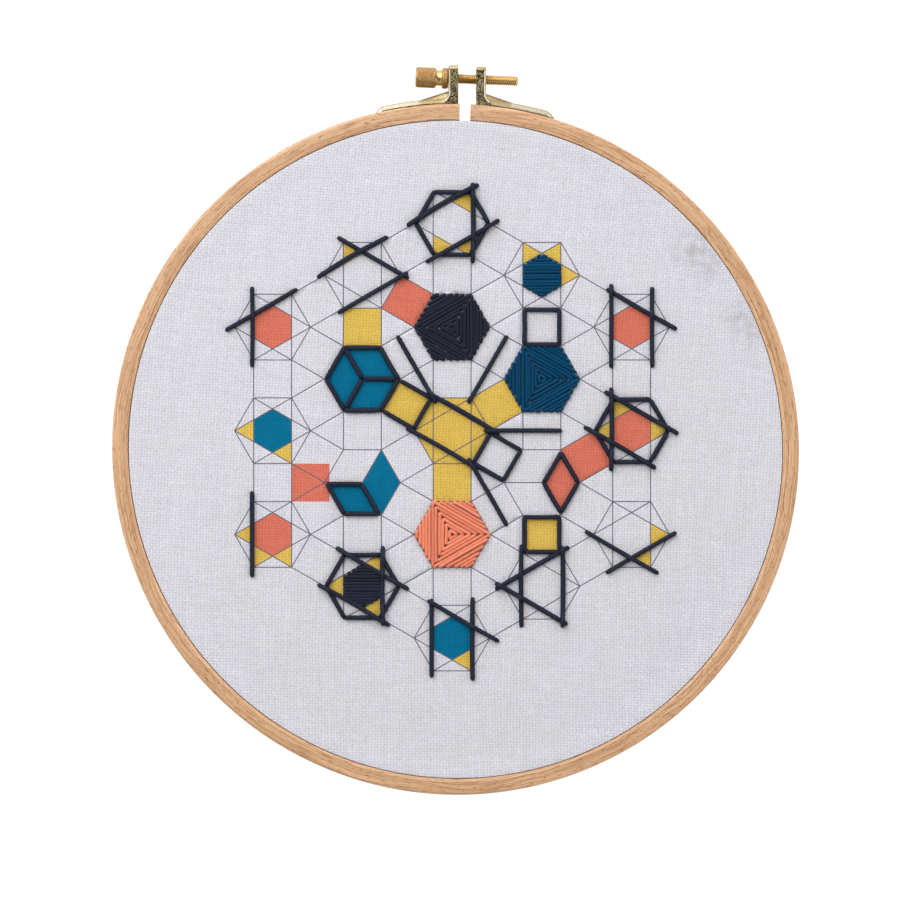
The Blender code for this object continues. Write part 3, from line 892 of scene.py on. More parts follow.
def face_points(radius, spacing):
    """Points of a triangular grid within a radius of the hoops' centre."""
    points = []
    rows = ceil(radius / (spacing * sqrt(3) / 2))
    for row in range(-rows, rows + 1):
        y = row * spacing * sqrt(3) / 2
        shift = spacing / 2 if row % 2 else 0
        columns = ceil(radius / spacing)
        for column in range(-columns, columns + 1):
            x = column * spacing + shift
            if x * x + y * y < radius * radius:
                points.append(Vector((x, y + CENTRE_Y)))
    return points


def triangulate(rim, points, layers):
    """The face within the rim, cut along every layer: its points and triangles."""
    coords = [Vector(point[:2]) for point in rim]
    outlines = [list(range(len(coords)))]
    for outline, _ in layers:
        outlines.append(list(range(len(coords), len(coords) + len(outline))))
        coords += [Vector(point[:2]) for point in outline]
    found = geometry.delaunay_2d_cdt(coords + points, [], outlines, 1, 1e-4, False)
    return found[0], found[2]


def face_layers(points, faces, layers):
    """The material of each triangle: that of the last layer its middle lies in."""
    places = np.array([point[:2] for point in points])
    middles = places[np.array(faces)].mean(axis=1)
    chosen = np.zeros(len(faces), int)
    for outline, index in layers:
        corners = np.array([point[:2] for point in outline])
        low, high = corners.min(axis=0), corners.max(axis=0)
        near = np.flatnonzero(((middles > low) & (middles < high)).all(axis=1))
        inside = np.ones(len(near), bool)
        for here, there in zip(corners, np.roll(corners, -1, axis=0)):
            way, out = there - here, middles[near] - here
            inside &= way[0] * out[:, 1] - way[1] * out[:, 0] > 0
        chosen[near[inside]] = index
    return chosen.tolist()


def rim_point(radius, angle):
    radius += springing(angle)
    return Vector((radius * cos(angle), radius * sin(angle) + CENTRE_Y))


def find_places(points):
    """A quick way to look up the nearest of some places on the cloth."""
    tree = kdtree.KDTree(len(points))
    for i, point in enumerate(points):
        tree.insert((point[0], point[1], 0), i)
    tree.balance()
    return tree


def match_rim(points, rim):
    """Which of the points is each point of the rim."""
    tree = find_places(points)
    return [tree.find((*point, 0))[1] for point in rim]


class Skin:
    """The cloth as it is made: its points, their places on the flat cloth, and its faces."""

    def __init__(self, points, flat, faces):
        self.points, self.flat, self.faces = points, flat, faces

    def add(self, points, flat):
        """The numbers of some new points."""
        self.points += points
        self.flat += flat
        return list(range(len(self.points) - len(points), len(self.points)))


def face_height(x, y, hole_distance):
    """Height of the face: slightly wavy, higher at its rim and drawn in at each hole."""
    out = Vector((x, y - CENTRE_Y))
    inland = max(0.0, SHOULDER_RADIUS + springing(atan2(out.y, out.x)) - out.length)
    wave = noise.noise(Vector((x, y, 3)) / WAVE_LENGTH)
    pucker = PUCKER_DEPTH * np.exp(-(hole_distance / PUCKER_REACH) ** 2)
    rise = RIM_RISE * np.exp(-(inland / RIM_REACH) ** 2)
    return CLOTH_FACE - pucker + WAVINESS * min(1.0, inland / WAVE_FADE) * wave + rise


def skirt_profile():
    """Down the skirt's outside, round the hem and up its inside to the back: each ring's
    radius, its height and its distance from the middle on the flat cloth."""
    top = CLOTH_FACE + RIM_RISE - CLOTH_SHOULDER
    outside = arc((SHOULDER_RADIUS, top), CLOTH_SHOULDER, pi / 2, 0, SHOULDER_STEPS)
    outside += [(CLOTH_RADIUS, z) for z in np.linspace(top, CLOTH_HEM, SKIRT_STEPS + 1)[1:]]
    heights = np.linspace(CLOTH_HEM, CLOTH_FACE - CLOTH_THICKNESS, SKIRT_STEPS + 1)
    places = np.array(outside + [(CLOTH_RADIUS - CLOTH_THICKNESS, z) for z in heights])
    steps = np.hypot(*np.diff(places, axis=0).T)
    steps[len(outside) - 1:] *= -1
    return np.column_stack([places[1:], SHOULDER_RADIUS + np.cumsum(steps)]).tolist()


def add_skirt(skin, ring):
    """Rings of faces from the face's rim down, round the hem and up to the back."""
    angles = [2 * pi * i / RING_STEPS for i in range(RING_STEPS)]
    for radius, height, far in skirt_profile():
        lower = skin.add([(*rim_point(radius, angle), height) for angle in angles],
                         [(*rim_point(far, angle), 0) for angle in angles])
        corners = zip(ring[1:] + ring[:1], ring, lower, lower[1:] + lower[:1])
        skin.faces += [list(face) for face in corners]
        ring = lower
    return ring


def add_back(skin, ring):
    """The cloth's reverse, a plainer disc inside the last ring."""
    rim = [Vector(skin.points[i][:2]) for i in ring]
    height = skin.points[ring[0]][2]
    grid = face_points(CLOTH_RADIUS - CLOTH_THICKNESS - BACK_POINTS, BACK_POINTS)
    points, faces = triangulate(rim, grid, [])
    joined = dict(zip(match_rim(points, rim), ring))
    for i, (x, y) in enumerate(points):
        if i not in joined:
            joined[i] = skin.add([(x, y, height)], [(x, y, 0)])[0]
    skin.faces += [[joined[i] for i in reversed(face)] for face in faces]


def build_cloth(materials, holes):
    """A closed taut skin: its printed face, the shoulder and skirt, the hem and the back."""
    layers = print_layers()
    rim = [rim_point(SHOULDER_RADIUS, 2 * pi * i / RING_STEPS) for i in range(RING_STEPS)]
    grid = face_points(SHOULDER_RADIUS - CLOTH_POINTS, CLOTH_POINTS)
    points, faces = triangulate(rim, grid, layers)
    kinds = face_layers(points, faces, layers)
    tree = find_places(holes)
    top = [(x, y, face_height(x, y, tree.find((x, y, 0))[2])) for x, y in points]
    skin = Skin(top, [(x, y, 0) for x, y in points], faces)
    add_back(skin, add_skirt(skin, match_rim(points, rim)))
    kinds += [0] * (len(skin.faces) - len(kinds))

    mesh = make_mesh("stretched_cloth", skin.points, skin.faces)
    set_attribute(mesh, "flat", skin.flat, "FLOAT_VECTOR")
    piece = add_piece("stretched_cloth", mesh, materials, ["cloth"])
    mesh.polygons.foreach_set("material_index", kinds)
    return piece


# Threads

class Threads:
    """Stitches gathered into one mesh."""

    def __init__(self):
        self.points, self.faces = [], []
        self.depth, self.tone, self.fibre = [], [], []
        self.count = 0

    def add(self, rings, depth, fibre, tone):
        self.faces += capped(rings, self.count)
        self.points.append(rings.reshape(-1, 3))
        self.depth.append(depth.ravel())
        self.fibre.append(fibre.reshape(-1, 3))
        self.tone.append(np.full(depth.size, tone))
        self.count += depth.size

    def piece(self, name, finish, slot, nodes=()):
        mesh = make_mesh(name, np.concatenate(self.points), self.faces)
        set_attribute(mesh, "depth", np.concatenate(self.depth))
        set_attribute(mesh, "tone", np.concatenate(self.tone))
        set_attribute(mesh, "fibre", np.concatenate(self.fibre), "FLOAT_VECTOR")
        return add_piece(name, mesh, [finish], nodes)


def stitch_line(yarn, start, end, top, bumps, bow, up):
    """A stitch's middle line over the cloth, or under it where up is -1: its points, the
    way sideways, how far along each point lies and how far out of its hole it is."""
    along = (end - start).normalized()
    side = Vector((-along.y, along.x, 0)) * up
    length = (end - start).length
    rise = min(yarn.rise, length / 3)
    step = yarn.step if up > 0 else REVERSE_STEP
    climb = np.linspace(0, pi / 2, CLIMB_STEPS + 1)[:-1]
    ends = rise * (1 - np.cos(climb))
    middle = np.linspace(rise, length - rise, max(3, ceil((length - 2 * rise) / step)))
    far = np.concatenate([ends, middle, length - ends[::-1]])
    lift = np.concatenate([np.sin(climb), np.ones(len(middle)), np.sin(climb[::-1])])
    hump = np.zeros(len(far))
    for place, height, reach in bumps:
        hump = np.maximum(hump, height * np.exp(-((far - place) / reach) ** 2))
    sway = bow * np.sin(pi * far / length)
    centre = np.array(start) + np.outer(far, along) + np.outer(sway, side)
    height = (top + THREAD_SINK + hump) * lift - THREAD_SINK
    centre[:, 2] = height * up + CLOTH_FACE - (up < 0) * CLOTH_THICKNESS
    return centre, np.array(side), far, lift


def stitch_rings(yarn, start, end, width, top, bumps=(), bow=0.0, up=1):
    """A twisted thread from one hole to another: its rings of points, how open each point
    is to the light, and a place along and round it for its fibres."""
    centre, side, far, lift = stitch_line(yarn, start, end, top, bumps, bow, up)
    tangent = np.gradient(centre, axis=0)
    tangent /= np.linalg.norm(tangent, axis=1)[:, None]
    normal = np.cross(tangent, side)
    radii = np.tile(yarn.lobe, yarn.strands)
    round_it = 2 * pi * np.arange(len(radii)) / len(radii)
    turn = round_it + (2 * pi * far / yarn.twist + rng.uniform(0, 2 * pi))[:, None]
    slim = radii * (HOLE_WIDTH + (1 - HOLE_WIDTH) * lift)[:, None] / 2
    across = np.cos(turn) * slim * width
    above = np.sin(turn) * slim * yarn.thickness
    rings = centre[:, None] + across[..., None] * side + above[..., None] * normal[:, None]
    groove = (radii - min(yarn.lobe)) / (1 - min(yarn.lobe))
    # Painted shade: darker on the thread's sides and underside, in the grooves between its
    # strands and where it dives into its holes
    facing = np.clip(np.sin(turn) * 0.9 + 0.32, 0, 1)
    depth = facing * (0.7 + 0.3 * groove) * (0.35 + 0.65 * lift[:, None])
    fibre = np.empty(rings.shape)
    fibre[..., 0], fibre[..., 1] = np.cos(round_it), np.sin(round_it)
    fibre[..., 2] = far[:, None] * FIBRE_DRAW + rng.uniform(*FIBRE_PLACES)
    return rings, depth, fibre


def chord(corners, across, offset):
    """Where a line at an offset along `across` crosses a convex outline, both ends."""
    along = Vector((across.y, -across.x, 0))
    hits = []
    for here, there in zip(corners, corners[1:] + corners[:1]):
        low, high = here.dot(across), there.dot(across)
        if (low - offset) * (high - offset) <= 0 and low != high:
            hits.append(here.lerp(there, (offset - low) / (high - low)))
    hits.sort(key=lambda point: point.dot(along))
    return hits[0], hits[-1]


def satin_lines(kind, ring, direction, facing):
    """The ends of each thread of a block of satin stitch, side by side."""
    inset, turn = SATIN_KINDS[kind]
    corners = tile_corners(kind, ring, direction, facing, inset)
    across = polar(1, (facing + turn) % 180 + 90)
    reach = [corner.dot(across) for corner in corners]
    low, high = min(reach) + SATIN_EDGE, max(reach) - SATIN_EDGE
    count = round((high - low) / SATIN_SPACING)
    lines = []
    for i in range(count + 1):
        offset = low + (high - low) * i / count + rng.normal(0, SATIN_STRAY)
        start, end = chord(corners, across, min(max(offset, low), high))
        along = (end - start).normalized()
        start = start + along * rng.uniform(*SATIN_ENDS)
        end = end - along * rng.uniform(*SATIN_ENDS)
        if (end - start).length > SHORTEST_SATIN:
            lines.append((start, end))
    return lines


def build_satin(node, kind, ring, direction, facing, finish, finishes, holes):
    """A tile filled with satin stitch, and its threads' way back behind the cloth."""
    threads = Threads()
    lines = satin_lines(kind, ring, direction, facing)
    for start, end in lines:
        width = SATIN.width * rng.uniform(*SATIN_WIDTHS)
        top = SATIN.thickness / 2 + rng.uniform(*SATIN_LIFTS)
        stitch = stitch_rings(SATIN, start, end, width, top, bow=rng.normal(0, SATIN_STRAY))
        threads.add(*stitch, rng.uniform(*SATIN_TONES))
        holes += [start, end]
    for (_, start), (end, _) in zip(lines, lines[1:]):
        stitch = stitch_rings(SATIN, start, end, SATIN.width, SATIN.thickness / 2, up=-1)
        threads.add(*stitch, rng.uniform(*SATIN_TONES))
    return threads.piece("thread_" + node, finishes[finish], finish, [node])


def crossings(start, end, laid):
    """Where a new stitch passes over those already laid: place, height and reach."""
    bumps = []
    length = (end - start).length
    for here, there in laid:
        hit = geometry.intersect_line_line_2d(start.xy, end.xy, here.xy, there.xy)
        if hit is None:
            continue
        turn = abs((end - start).normalized().cross((there - here).normalized()).z)
        place = (hit - start.xy).length
        if turn > LEAST_CROSSING and min(place, length - place) > HUMP_MARGIN:
            bumps.append((place, HUMP_HEIGHT, min(HUMP_REACH / turn, HUMP_LONGEST)))
    return bumps


def lay_floss(threads, start, end, laid, bow=0.0, up=1):
    """One straight length of thick floss over whatever lies on that side already."""
    bumps = crossings(start, end, laid[up])
    width = FLOSS.width * rng.uniform(*FLOSS_WIDTHS)
    sway = rng.normal(0, bow)
    stitch = stitch_rings(FLOSS, start, end, width, FLOSS_TOP, bumps, sway, up)
    threads.add(*stitch, rng.uniform(*FLOSS_TONES))
    laid[up].append((start, end))


def sew(threads, stitches, laid, holes, bow=LINE_BOW):
    """Straight stitches one after another, with the floss between them behind the cloth."""
    for start, end in stitches:
        lay_floss(threads, start, end, laid, bow)
        holes += [start, end]
    for (_, start), (end, _) in zip(stitches, stitches[1:]):
        if (end - start).length > SHORTEST_REVERSE:
            lay_floss(threads, start, end, laid, up=-1)


def build_line(node, kind, ring, direction, facing, left_out, finishes, laid, holes):
    """A tile's outline in back stitch, one stitch to a side."""
    threads = Threads()
    corners = tile_corners(kind, ring, direction, facing, LINE_INSET)
    stitches = []
    for i, (here, there) in enumerate(zip(corners, corners[1:] + corners[:1])):
        if i not in left_out:
            along = (there - here).normalized() * LINE_SHORTENING
            stitches.append((there - along, here + along))
    if (kind, ring, direction) == CUBE_TILE:
        centre = cell_centre(ring, direction)
        for angle in CUBE_SPOKES:
            stitches.append([centre + polar(far, angle) for far in CUBE_SPOKE_ENDS])
    sew(threads, stitches, laid, holes)
    return threads.piece("thread_" + node, finishes["navy"], "navy", [node])


def build_loose_stitches(finishes, laid, holes):
    """The long stitches that run past their corners, and the four spokes."""
    threads = Threads()
    for ring, direction, firsts in STAR_STITCHES:
        centre = cell_centre(ring, direction)
        stitches = []
        for first in firsts:
            start = centre + polar(TILE, 60 * first)
            end = centre + polar(TILE, 60 * first + 120)
            out = polar(STAR_SHIFT, 60 * first + 60)
            along = (end - start).normalized()
            early, late = rng.uniform(*STAR_ENDS, size=2) + STAR_OVERSHOOT
            stitches.append((start + out - along * early, end + out + along * late))
        sew(threads, stitches, laid, holes, STAR_BOW)
    for angle in SPOKE_DIRECTIONS:
        start = DESIGN_CENTRE + polar(TILE - SPOKE_OVERSHOOT, angle)
        end = DESIGN_CENTRE + polar(RING_STEP * TILE + SPOKE_OVERSHOOT, angle)
        sew(threads, [(start, end)], laid, holes, SPOKE_BOW)
    return threads.piece("thread_loose_stitches", finishes["navy"], "navy")


# Brackets

def axis_point(x):
    """The point on the screw's axis at a place along X."""
    start, way = Vector(SCREW["pos_m"]) / MM, Vector(SCREW["axis"])
    return start + way * (x - start.x) / way.x


class Bracket:
    """Where one bracket's features lie in the picture, from its node's box."""

    def __init__(self, node):
        low, high = (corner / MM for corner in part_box(node))
        left = (low.x + high.x) / 2 < SPLIT_X
        self.toward = 1 if left else -1          # the way along X from strap to mouth
        self.mouth_x, end_x = (high.x - LUG_SHIFT, low.x) if left else (low.x, high.x)
        self.end_x = end_x - STRAP_SHIFT
        self.web_x = self.mouth_x - self.toward * LUG_DEPTH
        self.corner_x = self.web_x - self.toward * LUG_CORNER
        self.drop = 0.0 if left else LUG_DROP
        self.top = high.y - self.drop
        self.low_z, self.high_z = low.z, high.z


def lug_outline(at):
    """From the lug's mouth over its cap and down its web, about the hoop's centre."""
    top = at.top - CENTRE_Y
    inset_x = at.web_x + at.toward * WEB_BEND
    turn = (at.web_x + at.toward * CAP_ROUNDING, top - CAP_ROUNDING)
    cap = arc(turn, CAP_ROUNDING, pi / 2, pi if at.toward > 0 else 0, BEND_STEPS)
    pairs = [((at.mouth_x, top), (at.mouth_x, top - CAP_BEND))]
    pairs += [(place, (inset_x, top - CAP_BEND)) for place in cap]
    return pairs + [((at.web_x, top - LUG_CAP), (inset_x, top - LUG_CAP))]


def corner_outline(at):
    """Round the corner from the lug's web to the strap, with a bend that widens."""
    corner = (at.corner_x, sqrt(STRAP_RADIUS ** 2 - at.corner_x ** 2) + LUG_CORNER)
    turns = (0, -pi / 2) if at.toward > 0 else (pi, 3 * pi / 2)
    pairs = []
    for i, wall in enumerate(arc(corner, LUG_CORNER, *turns, CORNER_STEPS)):
        bend = WEB_BEND + (STRAP_BEND - WEB_BEND) * (i / CORNER_STEPS) ** BEND_GROWTH
        share = 1 + bend / LUG_CORNER
        pairs.append((wall, [c + (w - c) * share for c, w in zip(corner, wall)]))
    return pairs


def strap_outline(at):
    """Along the strap, round its free end and back under it to the lug's mouth."""
    drop_x = at.end_x + at.toward * STRAP_DROP
    turn_x = drop_x + at.toward * END_ROUNDING
    corner, turn, drop = (acos(x / STRAP_RADIUS) for x in (at.corner_x, turn_x, drop_x))
    walls = arc((0, 0), STRAP_RADIUS, corner, turn, STRAP_STEPS)[1:]
    share = 1 - STRAP_BEND / STRAP_RADIUS
    pairs = [(wall, (wall[0] * share, wall[1] * share)) for wall in walls]

    end, bend, mouth = (acos(x / BRACKET_FLOOR) for x in (
        at.end_x, at.end_x + at.toward * END_BEND, at.mouth_x))
    floor = arc((0, 0), BRACKET_FLOOR, end, mouth, STRAP_STEPS)
    shoulder = Vector((drop_x, STRAP_RADIUS * sin(drop)))
    foot = shoulder.lerp(Vector(floor[0]), 0.5)
    for far in np.linspace(0, 1, BEND_STEPS + 1)[1:]:
        early = Vector(walls[-1]).lerp(shoulder, far)
        late = shoulder.lerp(foot, far)
        pairs.append((tuple(early.lerp(late, far)), tuple(shoulder * share)))
    pairs.append((floor[0], (BRACKET_FLOOR * cos(bend), BRACKET_FLOOR * sin(bend))))
    return pairs + [(place, place) for place in floor[1:]]


def bracket_block(at):
    """The bracket before its lug is hollowed. Its outline is made of points of its wall,
    each beside the point where the wall has turned into the flat front or back face."""
    pairs = np.array(lug_outline(at) + corner_outline(at) + strap_outline(at))
    pairs[..., 1] += CENTRE_Y
    walls, bends = pairs[:, 0], pairs[:, 1]
    levels = [(share, at.low_z + BEND_DEPTH * deep) for share, deep in reversed(BEND_SECTION)]
    levels += [(share, at.high_z - BEND_DEPTH * deep) for share, deep in BEND_SECTION]
    rings = []
    for share, z in levels:
        ring = walls + (bends - walls) * share
        rings.append(np.column_stack([ring, np.full(len(ring), z)]))
    mesh = make_mesh("bracket_block", np.concatenate(rings), capped(np.array(rings)))
    sort_bends(mesh, len(walls), at.top - LUG_CAP)
    tidy_solid(mesh)
    return mesh


def sort_bends(mesh, count, cap_y):
    """The materials of a block: its front and back, the two bands of faces beside each,
    and the outermost band where it runs up the lug, which carries a painted highlight."""
    walls_end = len(mesh.polygons) - 2
    mesh.polygons[-1].material_index = mesh.polygons[-2].material_index = FLAT_PLATING
    for i in [*range(2 * count), *range(walls_end - 2 * count, walls_end)]:
        face = mesh.polygons[i]
        outermost = i < count or i >= walls_end - count
        upright = abs(face.normal.x) > UPRIGHT * abs(face.normal.y)
        # The outermost upright band below the cap gets the painted highlight
        highlighted = outermost and upright and face.center.y < cap_y * MM
        face.material_index = HIGHLIGHT_PLATING if highlighted else BEND_PLATING


def tidy_solid(mesh):
    """Join a closed mesh's doubled points and turn its faces outwards."""
    bm = bmesh.new()
    bm.from_mesh(mesh)
    bmesh.ops.remove_doubles(bm, verts=bm.verts, dist=JOINED * MM)
    bmesh.ops.dissolve_degenerate(bm, edges=bm.edges, dist=COLLAPSED * MM)
    bmesh.ops.recalc_face_normals(bm, faces=bm.faces)
    bm.to_mesh(mesh)
    bm.free()


def box_mesh(low, high):
    bm = bmesh.new()
    bmesh.ops.create_cube(bm, size=1)
    bmesh.ops.scale(bm, vec=[(b - a) * MM for a, b in zip(low, high)], verts=bm.verts)
    bmesh.ops.translate(bm, vec=[(a + b) / 2 * MM for a, b in zip(low, high)], verts=bm.verts)
    return unpack_mesh("box", bm)


def drill_mesh(place):
    """The drill for the screw's hole, through a place on its axis."""
    bm = bmesh.new()
    radius = SCREW_HOLE_RADIUS * MM
    bmesh.ops.create_cone(bm, cap_ends=True, segments=SCREW_HOLE_SIDES, radius1=radius,
                          radius2=radius, depth=3 * SHEET * MM)
    mesh = unpack_mesh("drill", bm)
    turn = Vector(SCREW["axis"]).to_track_quat("Z", "Y").to_matrix().to_4x4()
    mesh.transform(Matrix.Translation(place * MM) @ turn)
    return mesh


def rib_mesh(at):
    """The rounded rib pressed into the corner behind a lug."""
    foot = sqrt(STRAP_RADIUS ** 2 - at.web_x ** 2)
    far_x = at.web_x - at.toward * RIB_LENGTH
    tail = sqrt(STRAP_RADIUS ** 2 - far_x ** 2)
    rings = []
    for x in np.linspace(at.web_x + at.toward * SHEET / 2, far_x, RIB_COLUMNS + 1):
        share = min(1.0, max(0.0, (at.web_x - x) * at.toward / RIB_LENGTH))
        base = sqrt(STRAP_RADIUS ** 2 - x ** 2) - SHEET / 2
        crest = (foot + RIB_RISE - at.drop) * (1 - share) + tail * share
        across = np.linspace(-1, 1, RIB_ROWS + 1)
        y = base + (crest - base) * (1 - across ** 2) ** RIB_FULLNESS + CENTRE_Y
        z = (at.low_z + at.high_z + across * RIB_WIDTH) / 2
        rings.append(np.column_stack([np.full(len(y), x), y, z]))
    mesh = make_mesh("rib", np.concatenate(rings), capped(np.array(rings)))
    mesh.polygons.foreach_set("material_index", [RIB_PLATING] * len(mesh.polygons))
    tidy_solid(mesh)
    return mesh


def carve(mesh, cutters):
    """A new mesh: the first less every cutter."""
    objects = [add_object("carving", each) for each in (mesh, *cutters)]
    for cutter in objects[1:]:
        step = objects[0].modifiers.new("cut", "BOOLEAN")
        step.solver = "EXACT"
        step.object = cutter
    block = objects[0].evaluated_get(bpy.context.evaluated_depsgraph_get())
    carved = bpy.data.meshes.new_from_object(block)
    for item in objects:
        bpy.data.objects.remove(item)
    return carved


def build_bracket(node, platings):
    """A pressed bracket, its lug hollowed from the gap side and drilled for the screw."""
    at = Bracket(node)
    near_x, far_x = sorted(x + at.toward * SHEET for x in (at.web_x, at.mouth_x))
    pocket = box_mesh((near_x, STRAP_RADIUS + CENTRE_Y - SHEET / 2, at.low_z + SHEET),
                      (far_x, at.top - SHEET, at.high_z - SHEET))
    drill = drill_mesh(axis_point(at.web_x + at.toward * SHEET / 2))
    bm = bmesh.new()
    for mesh in (carve(bracket_block(at), (pocket, drill)), rib_mesh(at)):
        bm.from_mesh(mesh)
    for edge in bm.edges:
        kinds = {face.material_index for face in edge.link_faces}
        bent = edge.calc_face_angle(pi) > BRACKET_SHARP
        edge.smooth = (len(kinds) == 1 or kinds == {0, BEND_PLATING}) and not bent
    mesh = unpack_mesh("pressed_" + node, bm)
    return add_piece("pressed_" + node, mesh, platings, [node])


# Thumb screw

def knurl(angles, height, length):
    """Depth of a diamond knurl on one ring of a drum, fading out at the drum's ends."""
    pitch = 2 * pi * DRUM_RADIUS / KNURLS
    turns = KNURLS * angles / (2 * pi)
    first, second = turns + height / pitch, turns - height / pitch
    near = np.minimum(np.abs(first - np.round(first)), np.abs(second - np.round(second)))
    fade = np.clip(min(height, length - height) / HEAD_ROUNDING - KNURL_START, 0, 1)
    return KNURL_DEPTH * (1 - np.clip(near / KNURL_FLANK, 0, 1)) * fade


def knurled_drum(radius, low, length, angles):
    """Rings of a knurled drum with rounded rims, each as its radii and its height."""
    rim, inner = HEAD_ROUNDING, radius - HEAD_ROUNDING
    profile = arc((inner, low + rim), rim, -pi / 2, 0, BEND_STEPS)
    steps = ceil((length - 2 * rim) / KNURL_STEP)
    profile += [(radius, low + rim + (length - 2 * rim) * i / steps) for i in range(1, steps)]
    profile += arc((inner, low + length - rim), rim, 0, pi / 2, BEND_STEPS)
    return [(out - knurl(angles, height - low, length), height) for out, height in profile]


def head_rings(angles):
    """Rings of the screw's head from the lug outwards, and which of them are knurled."""
    plain = np.ones(len(angles))
    fillet = COLLAR_RADIUS - HEAD_ROUNDING - NECK_RADIUS
    neck = []
    for share in np.linspace(0, 1, NECK_STEPS + 1)[1:-1]:
        radius = NECK_RADIUS + fillet * abs(2 * share - 1) ** NECK_SHAPE
        neck.append((radius * plain, COLLAR_LENGTH + NECK_LENGTH * share))
    collar = knurled_drum(COLLAR_RADIUS, 0.0, COLLAR_LENGTH, angles)
    drum = knurled_drum(DRUM_RADIUS, COLLAR_LENGTH + NECK_LENGTH, DRUM_LENGTH, angles)
    foot = [(ROD_RADIUS / 2 * plain, 0.0)]
    end = [(out * plain, drum[-1][1] - deep) for out, deep in DRUM_END]
    rings, knurled = [], []
    for part, kind in ((foot, 0), (collar, 1), (neck, 0), (drum, 1), (end, 0)):
        rings += part
        knurled += [kind] * len(part)
    return rings, knurled


def lathe_rows(radii, heights):
    """Rings of points about the local Z axis from an array of radii per ring."""
    sides = radii.shape[1]
    angles = 2 * pi * np.arange(sides) / sides
    x, y = radii * np.cos(angles), radii * np.sin(angles)
    return np.stack([x, y, np.broadcast_to(heights[:, None], radii.shape)], -1)


def rod_rings():
    """Radii and heights of the threaded rod, from its rounded tip into the head."""
    heights = np.arange(-ROD_LENGTH, ROD_ROOT, THREAD_PITCH / THREAD_STEPS)
    turns = np.arange(ROD_SIDES) / ROD_SIDES
    phase = heights[:, None] / THREAD_PITCH - turns[None]
    radii = ROD_RADIUS - THREAD_DEPTH * (0.5 + 0.5 * np.cos(2 * pi * phase))
    short = np.clip(1 - (heights + ROD_LENGTH) / ROD_POINT, 0, 1)[:, None]
    return np.minimum(radii, ROD_RADIUS * (0.5 + 0.5 * np.sqrt(1 - short ** 2))), heights


def build_screw(materials):
    """The thumb screw about its own axis, then tilted into its place in the lugs."""
    rings, knurled = head_rings(2 * pi * np.arange(HEAD_SIDES) / HEAD_SIDES)
    head = np.array([radii for radii, _ in rings])
    rod, rod_heights = rod_rings()
    rows = (lathe_rows(head, np.array([height for _, height in rings])),
            lathe_rows(rod, rod_heights))
    faces = capped(rows[0]) + capped(rows[1], head.size)
    mesh = make_mesh("knurled_screw", np.concatenate([row.reshape(-1, 3) for row in rows]), faces)
    mesh.set_sharp_from_angle(angle=SCREW_SHARP)
    # Painted shade in the grooves of the knurl and the thread
    knurling = (head.max(axis=1, keepdims=True) - head) / KNURL_DEPTH
    grooves = (ROD_RADIUS - rod) / THREAD_DEPTH
    shades = [tone * np.minimum(depth.ravel(), 1)
              for tone, depth in ((KNURL_GROOVE_SHADE, knurling), (THREAD_GROOVE_SHADE, grooves))]
    set_attribute(mesh, "tone", 1 - np.concatenate(shades))

    axis = Vector(SCREW["axis"])
    seat = axis_point(Bracket("bracket_left").web_x - SCREW_CLEARANCE)
    turn = Euler((0, -pi / 2, atan2(axis.y, axis.x))).to_matrix().to_4x4()
    mesh.transform(Matrix.Translation(seat * MM) @ turn)
    piece = add_piece("knurled_screw", mesh, materials, ["thumb_screw"], "screw")
    bands = np.minimum(knurled[1:], knurled[:-1])
    kinds = np.zeros(len(faces), int)
    kinds[:len(bands) * HEAD_SIDES] = np.repeat(bands, HEAD_SIDES)
    mesh.polygons.foreach_set("material_index", kinds)
    return piece


# Stage

def add_light(name, place, size, energy):
    data = bpy.data.lights.new(name, "AREA")
    data.shape = "DISK"
    data.size = size
    data.energy = energy
    light = add_object(name, data)
    light.location = place
    light.visible_camera = False
    light.rotation_mode = "QUATERNION"
    light.rotation_quaternion = (-Vector(place)).to_track_quat("-Z", "Y")


def build_world():
    """A pale room: dim straight overhead, where the camera is, bright all round, and
    brightest beyond the top of the hoop."""
    world = bpy.data.worlds.new("studio")
    bpy.context.scene.world = world
    world.use_nodes = True
    nodes = Nodes(world.node_tree)
    room = nodes.tree.nodes["Background"]
    _, y, z = nodes.split(nodes.node("TexCoord", (), "Generated"))
    stops = [(height, (level, level, level * ROOM_BLUE, 1)) for height, level in ROOM_LEVELS]
    nodes.put(room.inputs["Color"], nodes.ramp(z, *stops))
    nodes.put(room.inputs["Strength"], y * ROOM_LEAN + ROOM_STRENGTH)


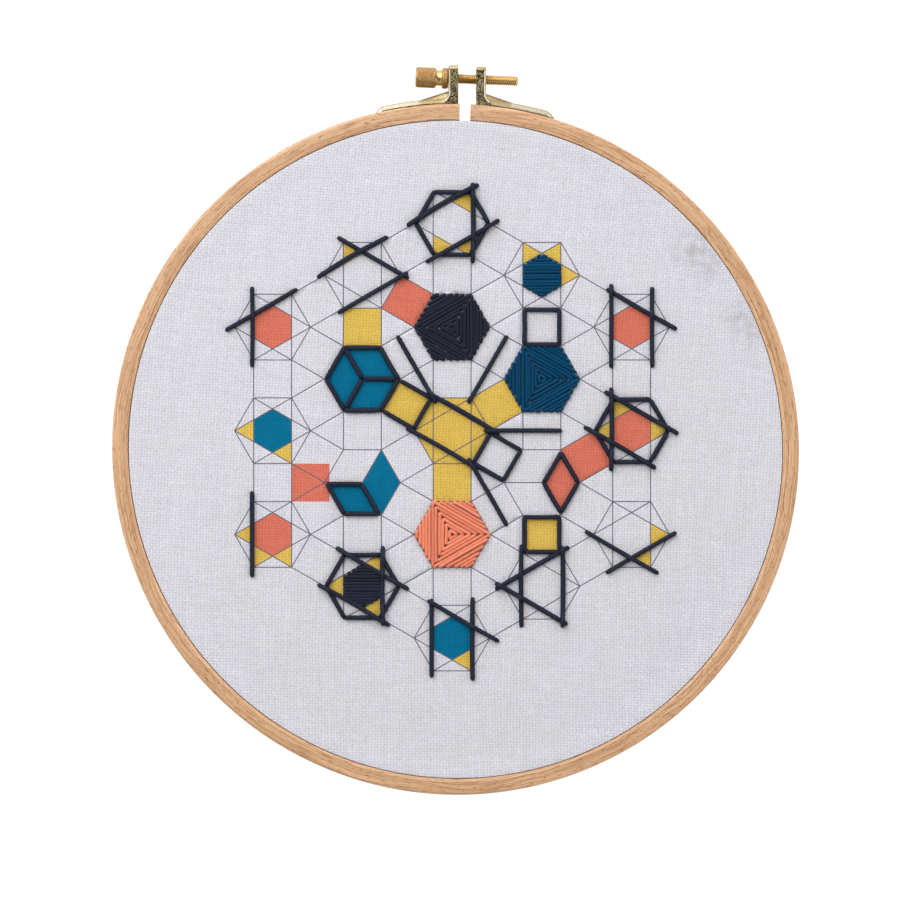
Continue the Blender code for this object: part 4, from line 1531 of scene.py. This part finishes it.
def build_stage():
    """A white floor under the hoop, a little self-lit like a light table."""
    corners = ((-1, -1), (1, -1), (1, 1), (-1, 1))
    points = [(x * FLOOR_REACH, y * FLOOR_REACH, FLOOR_Z) for x, y in corners]
    floor = add_object("floor", make_mesh("floor", points, [[0, 1, 2, 3]]))
    paper = Surface("scene_paper", Roughness=0.95, Base_Color=FLOOR_COLOUR,
                    Emission_Color=(1, 1, 1, 1), Emission_Strength=FLOOR_GLOW)
    floor.data.materials.append(paper.material)
    build_world()
    for light in LIGHTS:
        add_light(*light)


def build_camera():
    """Straight above the hoop, far off with a long lens."""
    data = bpy.data.cameras.new("camera")
    data.lens = LENS
    data.sensor_width = SENSOR
    data.clip_end = FARTHEST
    camera = add_object("camera", data)
    distance = VIEW_WIDTH * LENS / SENSOR + HOOP_HEIGHT
    camera.location = Vector((CAMERA_X, CAMERA_Y, distance)) * MM
    scene = bpy.context.scene
    scene.camera = camera
    scene.view_settings.view_transform = "Standard"
    scene.view_settings.look = "None"


def main():
    build_camera()
    build_stage()
    finishes = {colour: thread_material("scene_" + colour, *look)
                for colour, look in FLOSS_COLOURS.items()}
    laid, holes = {1: [], -1: []}, []
    stitched = [build_satin(*row, finishes, holes) for row in SATIN_TILES]
    stitched += [build_line(*row, finishes, laid, holes) for row in LINED_TILES]
    stitched.append(build_loose_stitches(finishes, laid, holes))

    prints = [cloth_material("scene_" + name, colour) for name, colour in PRINT_COLOURS.items()]
    cloth = build_cloth(prints, holes)
    inner = build_inner_hoop(wood_material("scene_beech_inner", 0.0))
    build_outer_hoop(wood_material("scene_beech", SPLIT_X / HOOP_RADIUS))
    radius = SHOULDER_RADIUS + CLOTH_SHOULDER * pi / 2 + (
        CLOTH_FACE - CLOTH_SHOULDER - CLOTH_HEM)
    2 * radius * MM
    2 * radius * MM
    pi * (radius * MM) ** 2

    build_screw([turned_brass(*look) for look in SCREW_BRASSES])
    # The rib's and bends' colours and the lugs' pale edges are painted highlight and shade
    platings = [bright_plating("scene_plated_brass", WALL_TONES), dull_plating(),
                edge_plating(), bright_plating("scene_rib_brass", RIB_TONES),
                bright_plating("scene_bend_brass", BEND_TONES)]
    for name in ("bracket_left", "bracket_right"):
        build_bracket(name, platings)


main()
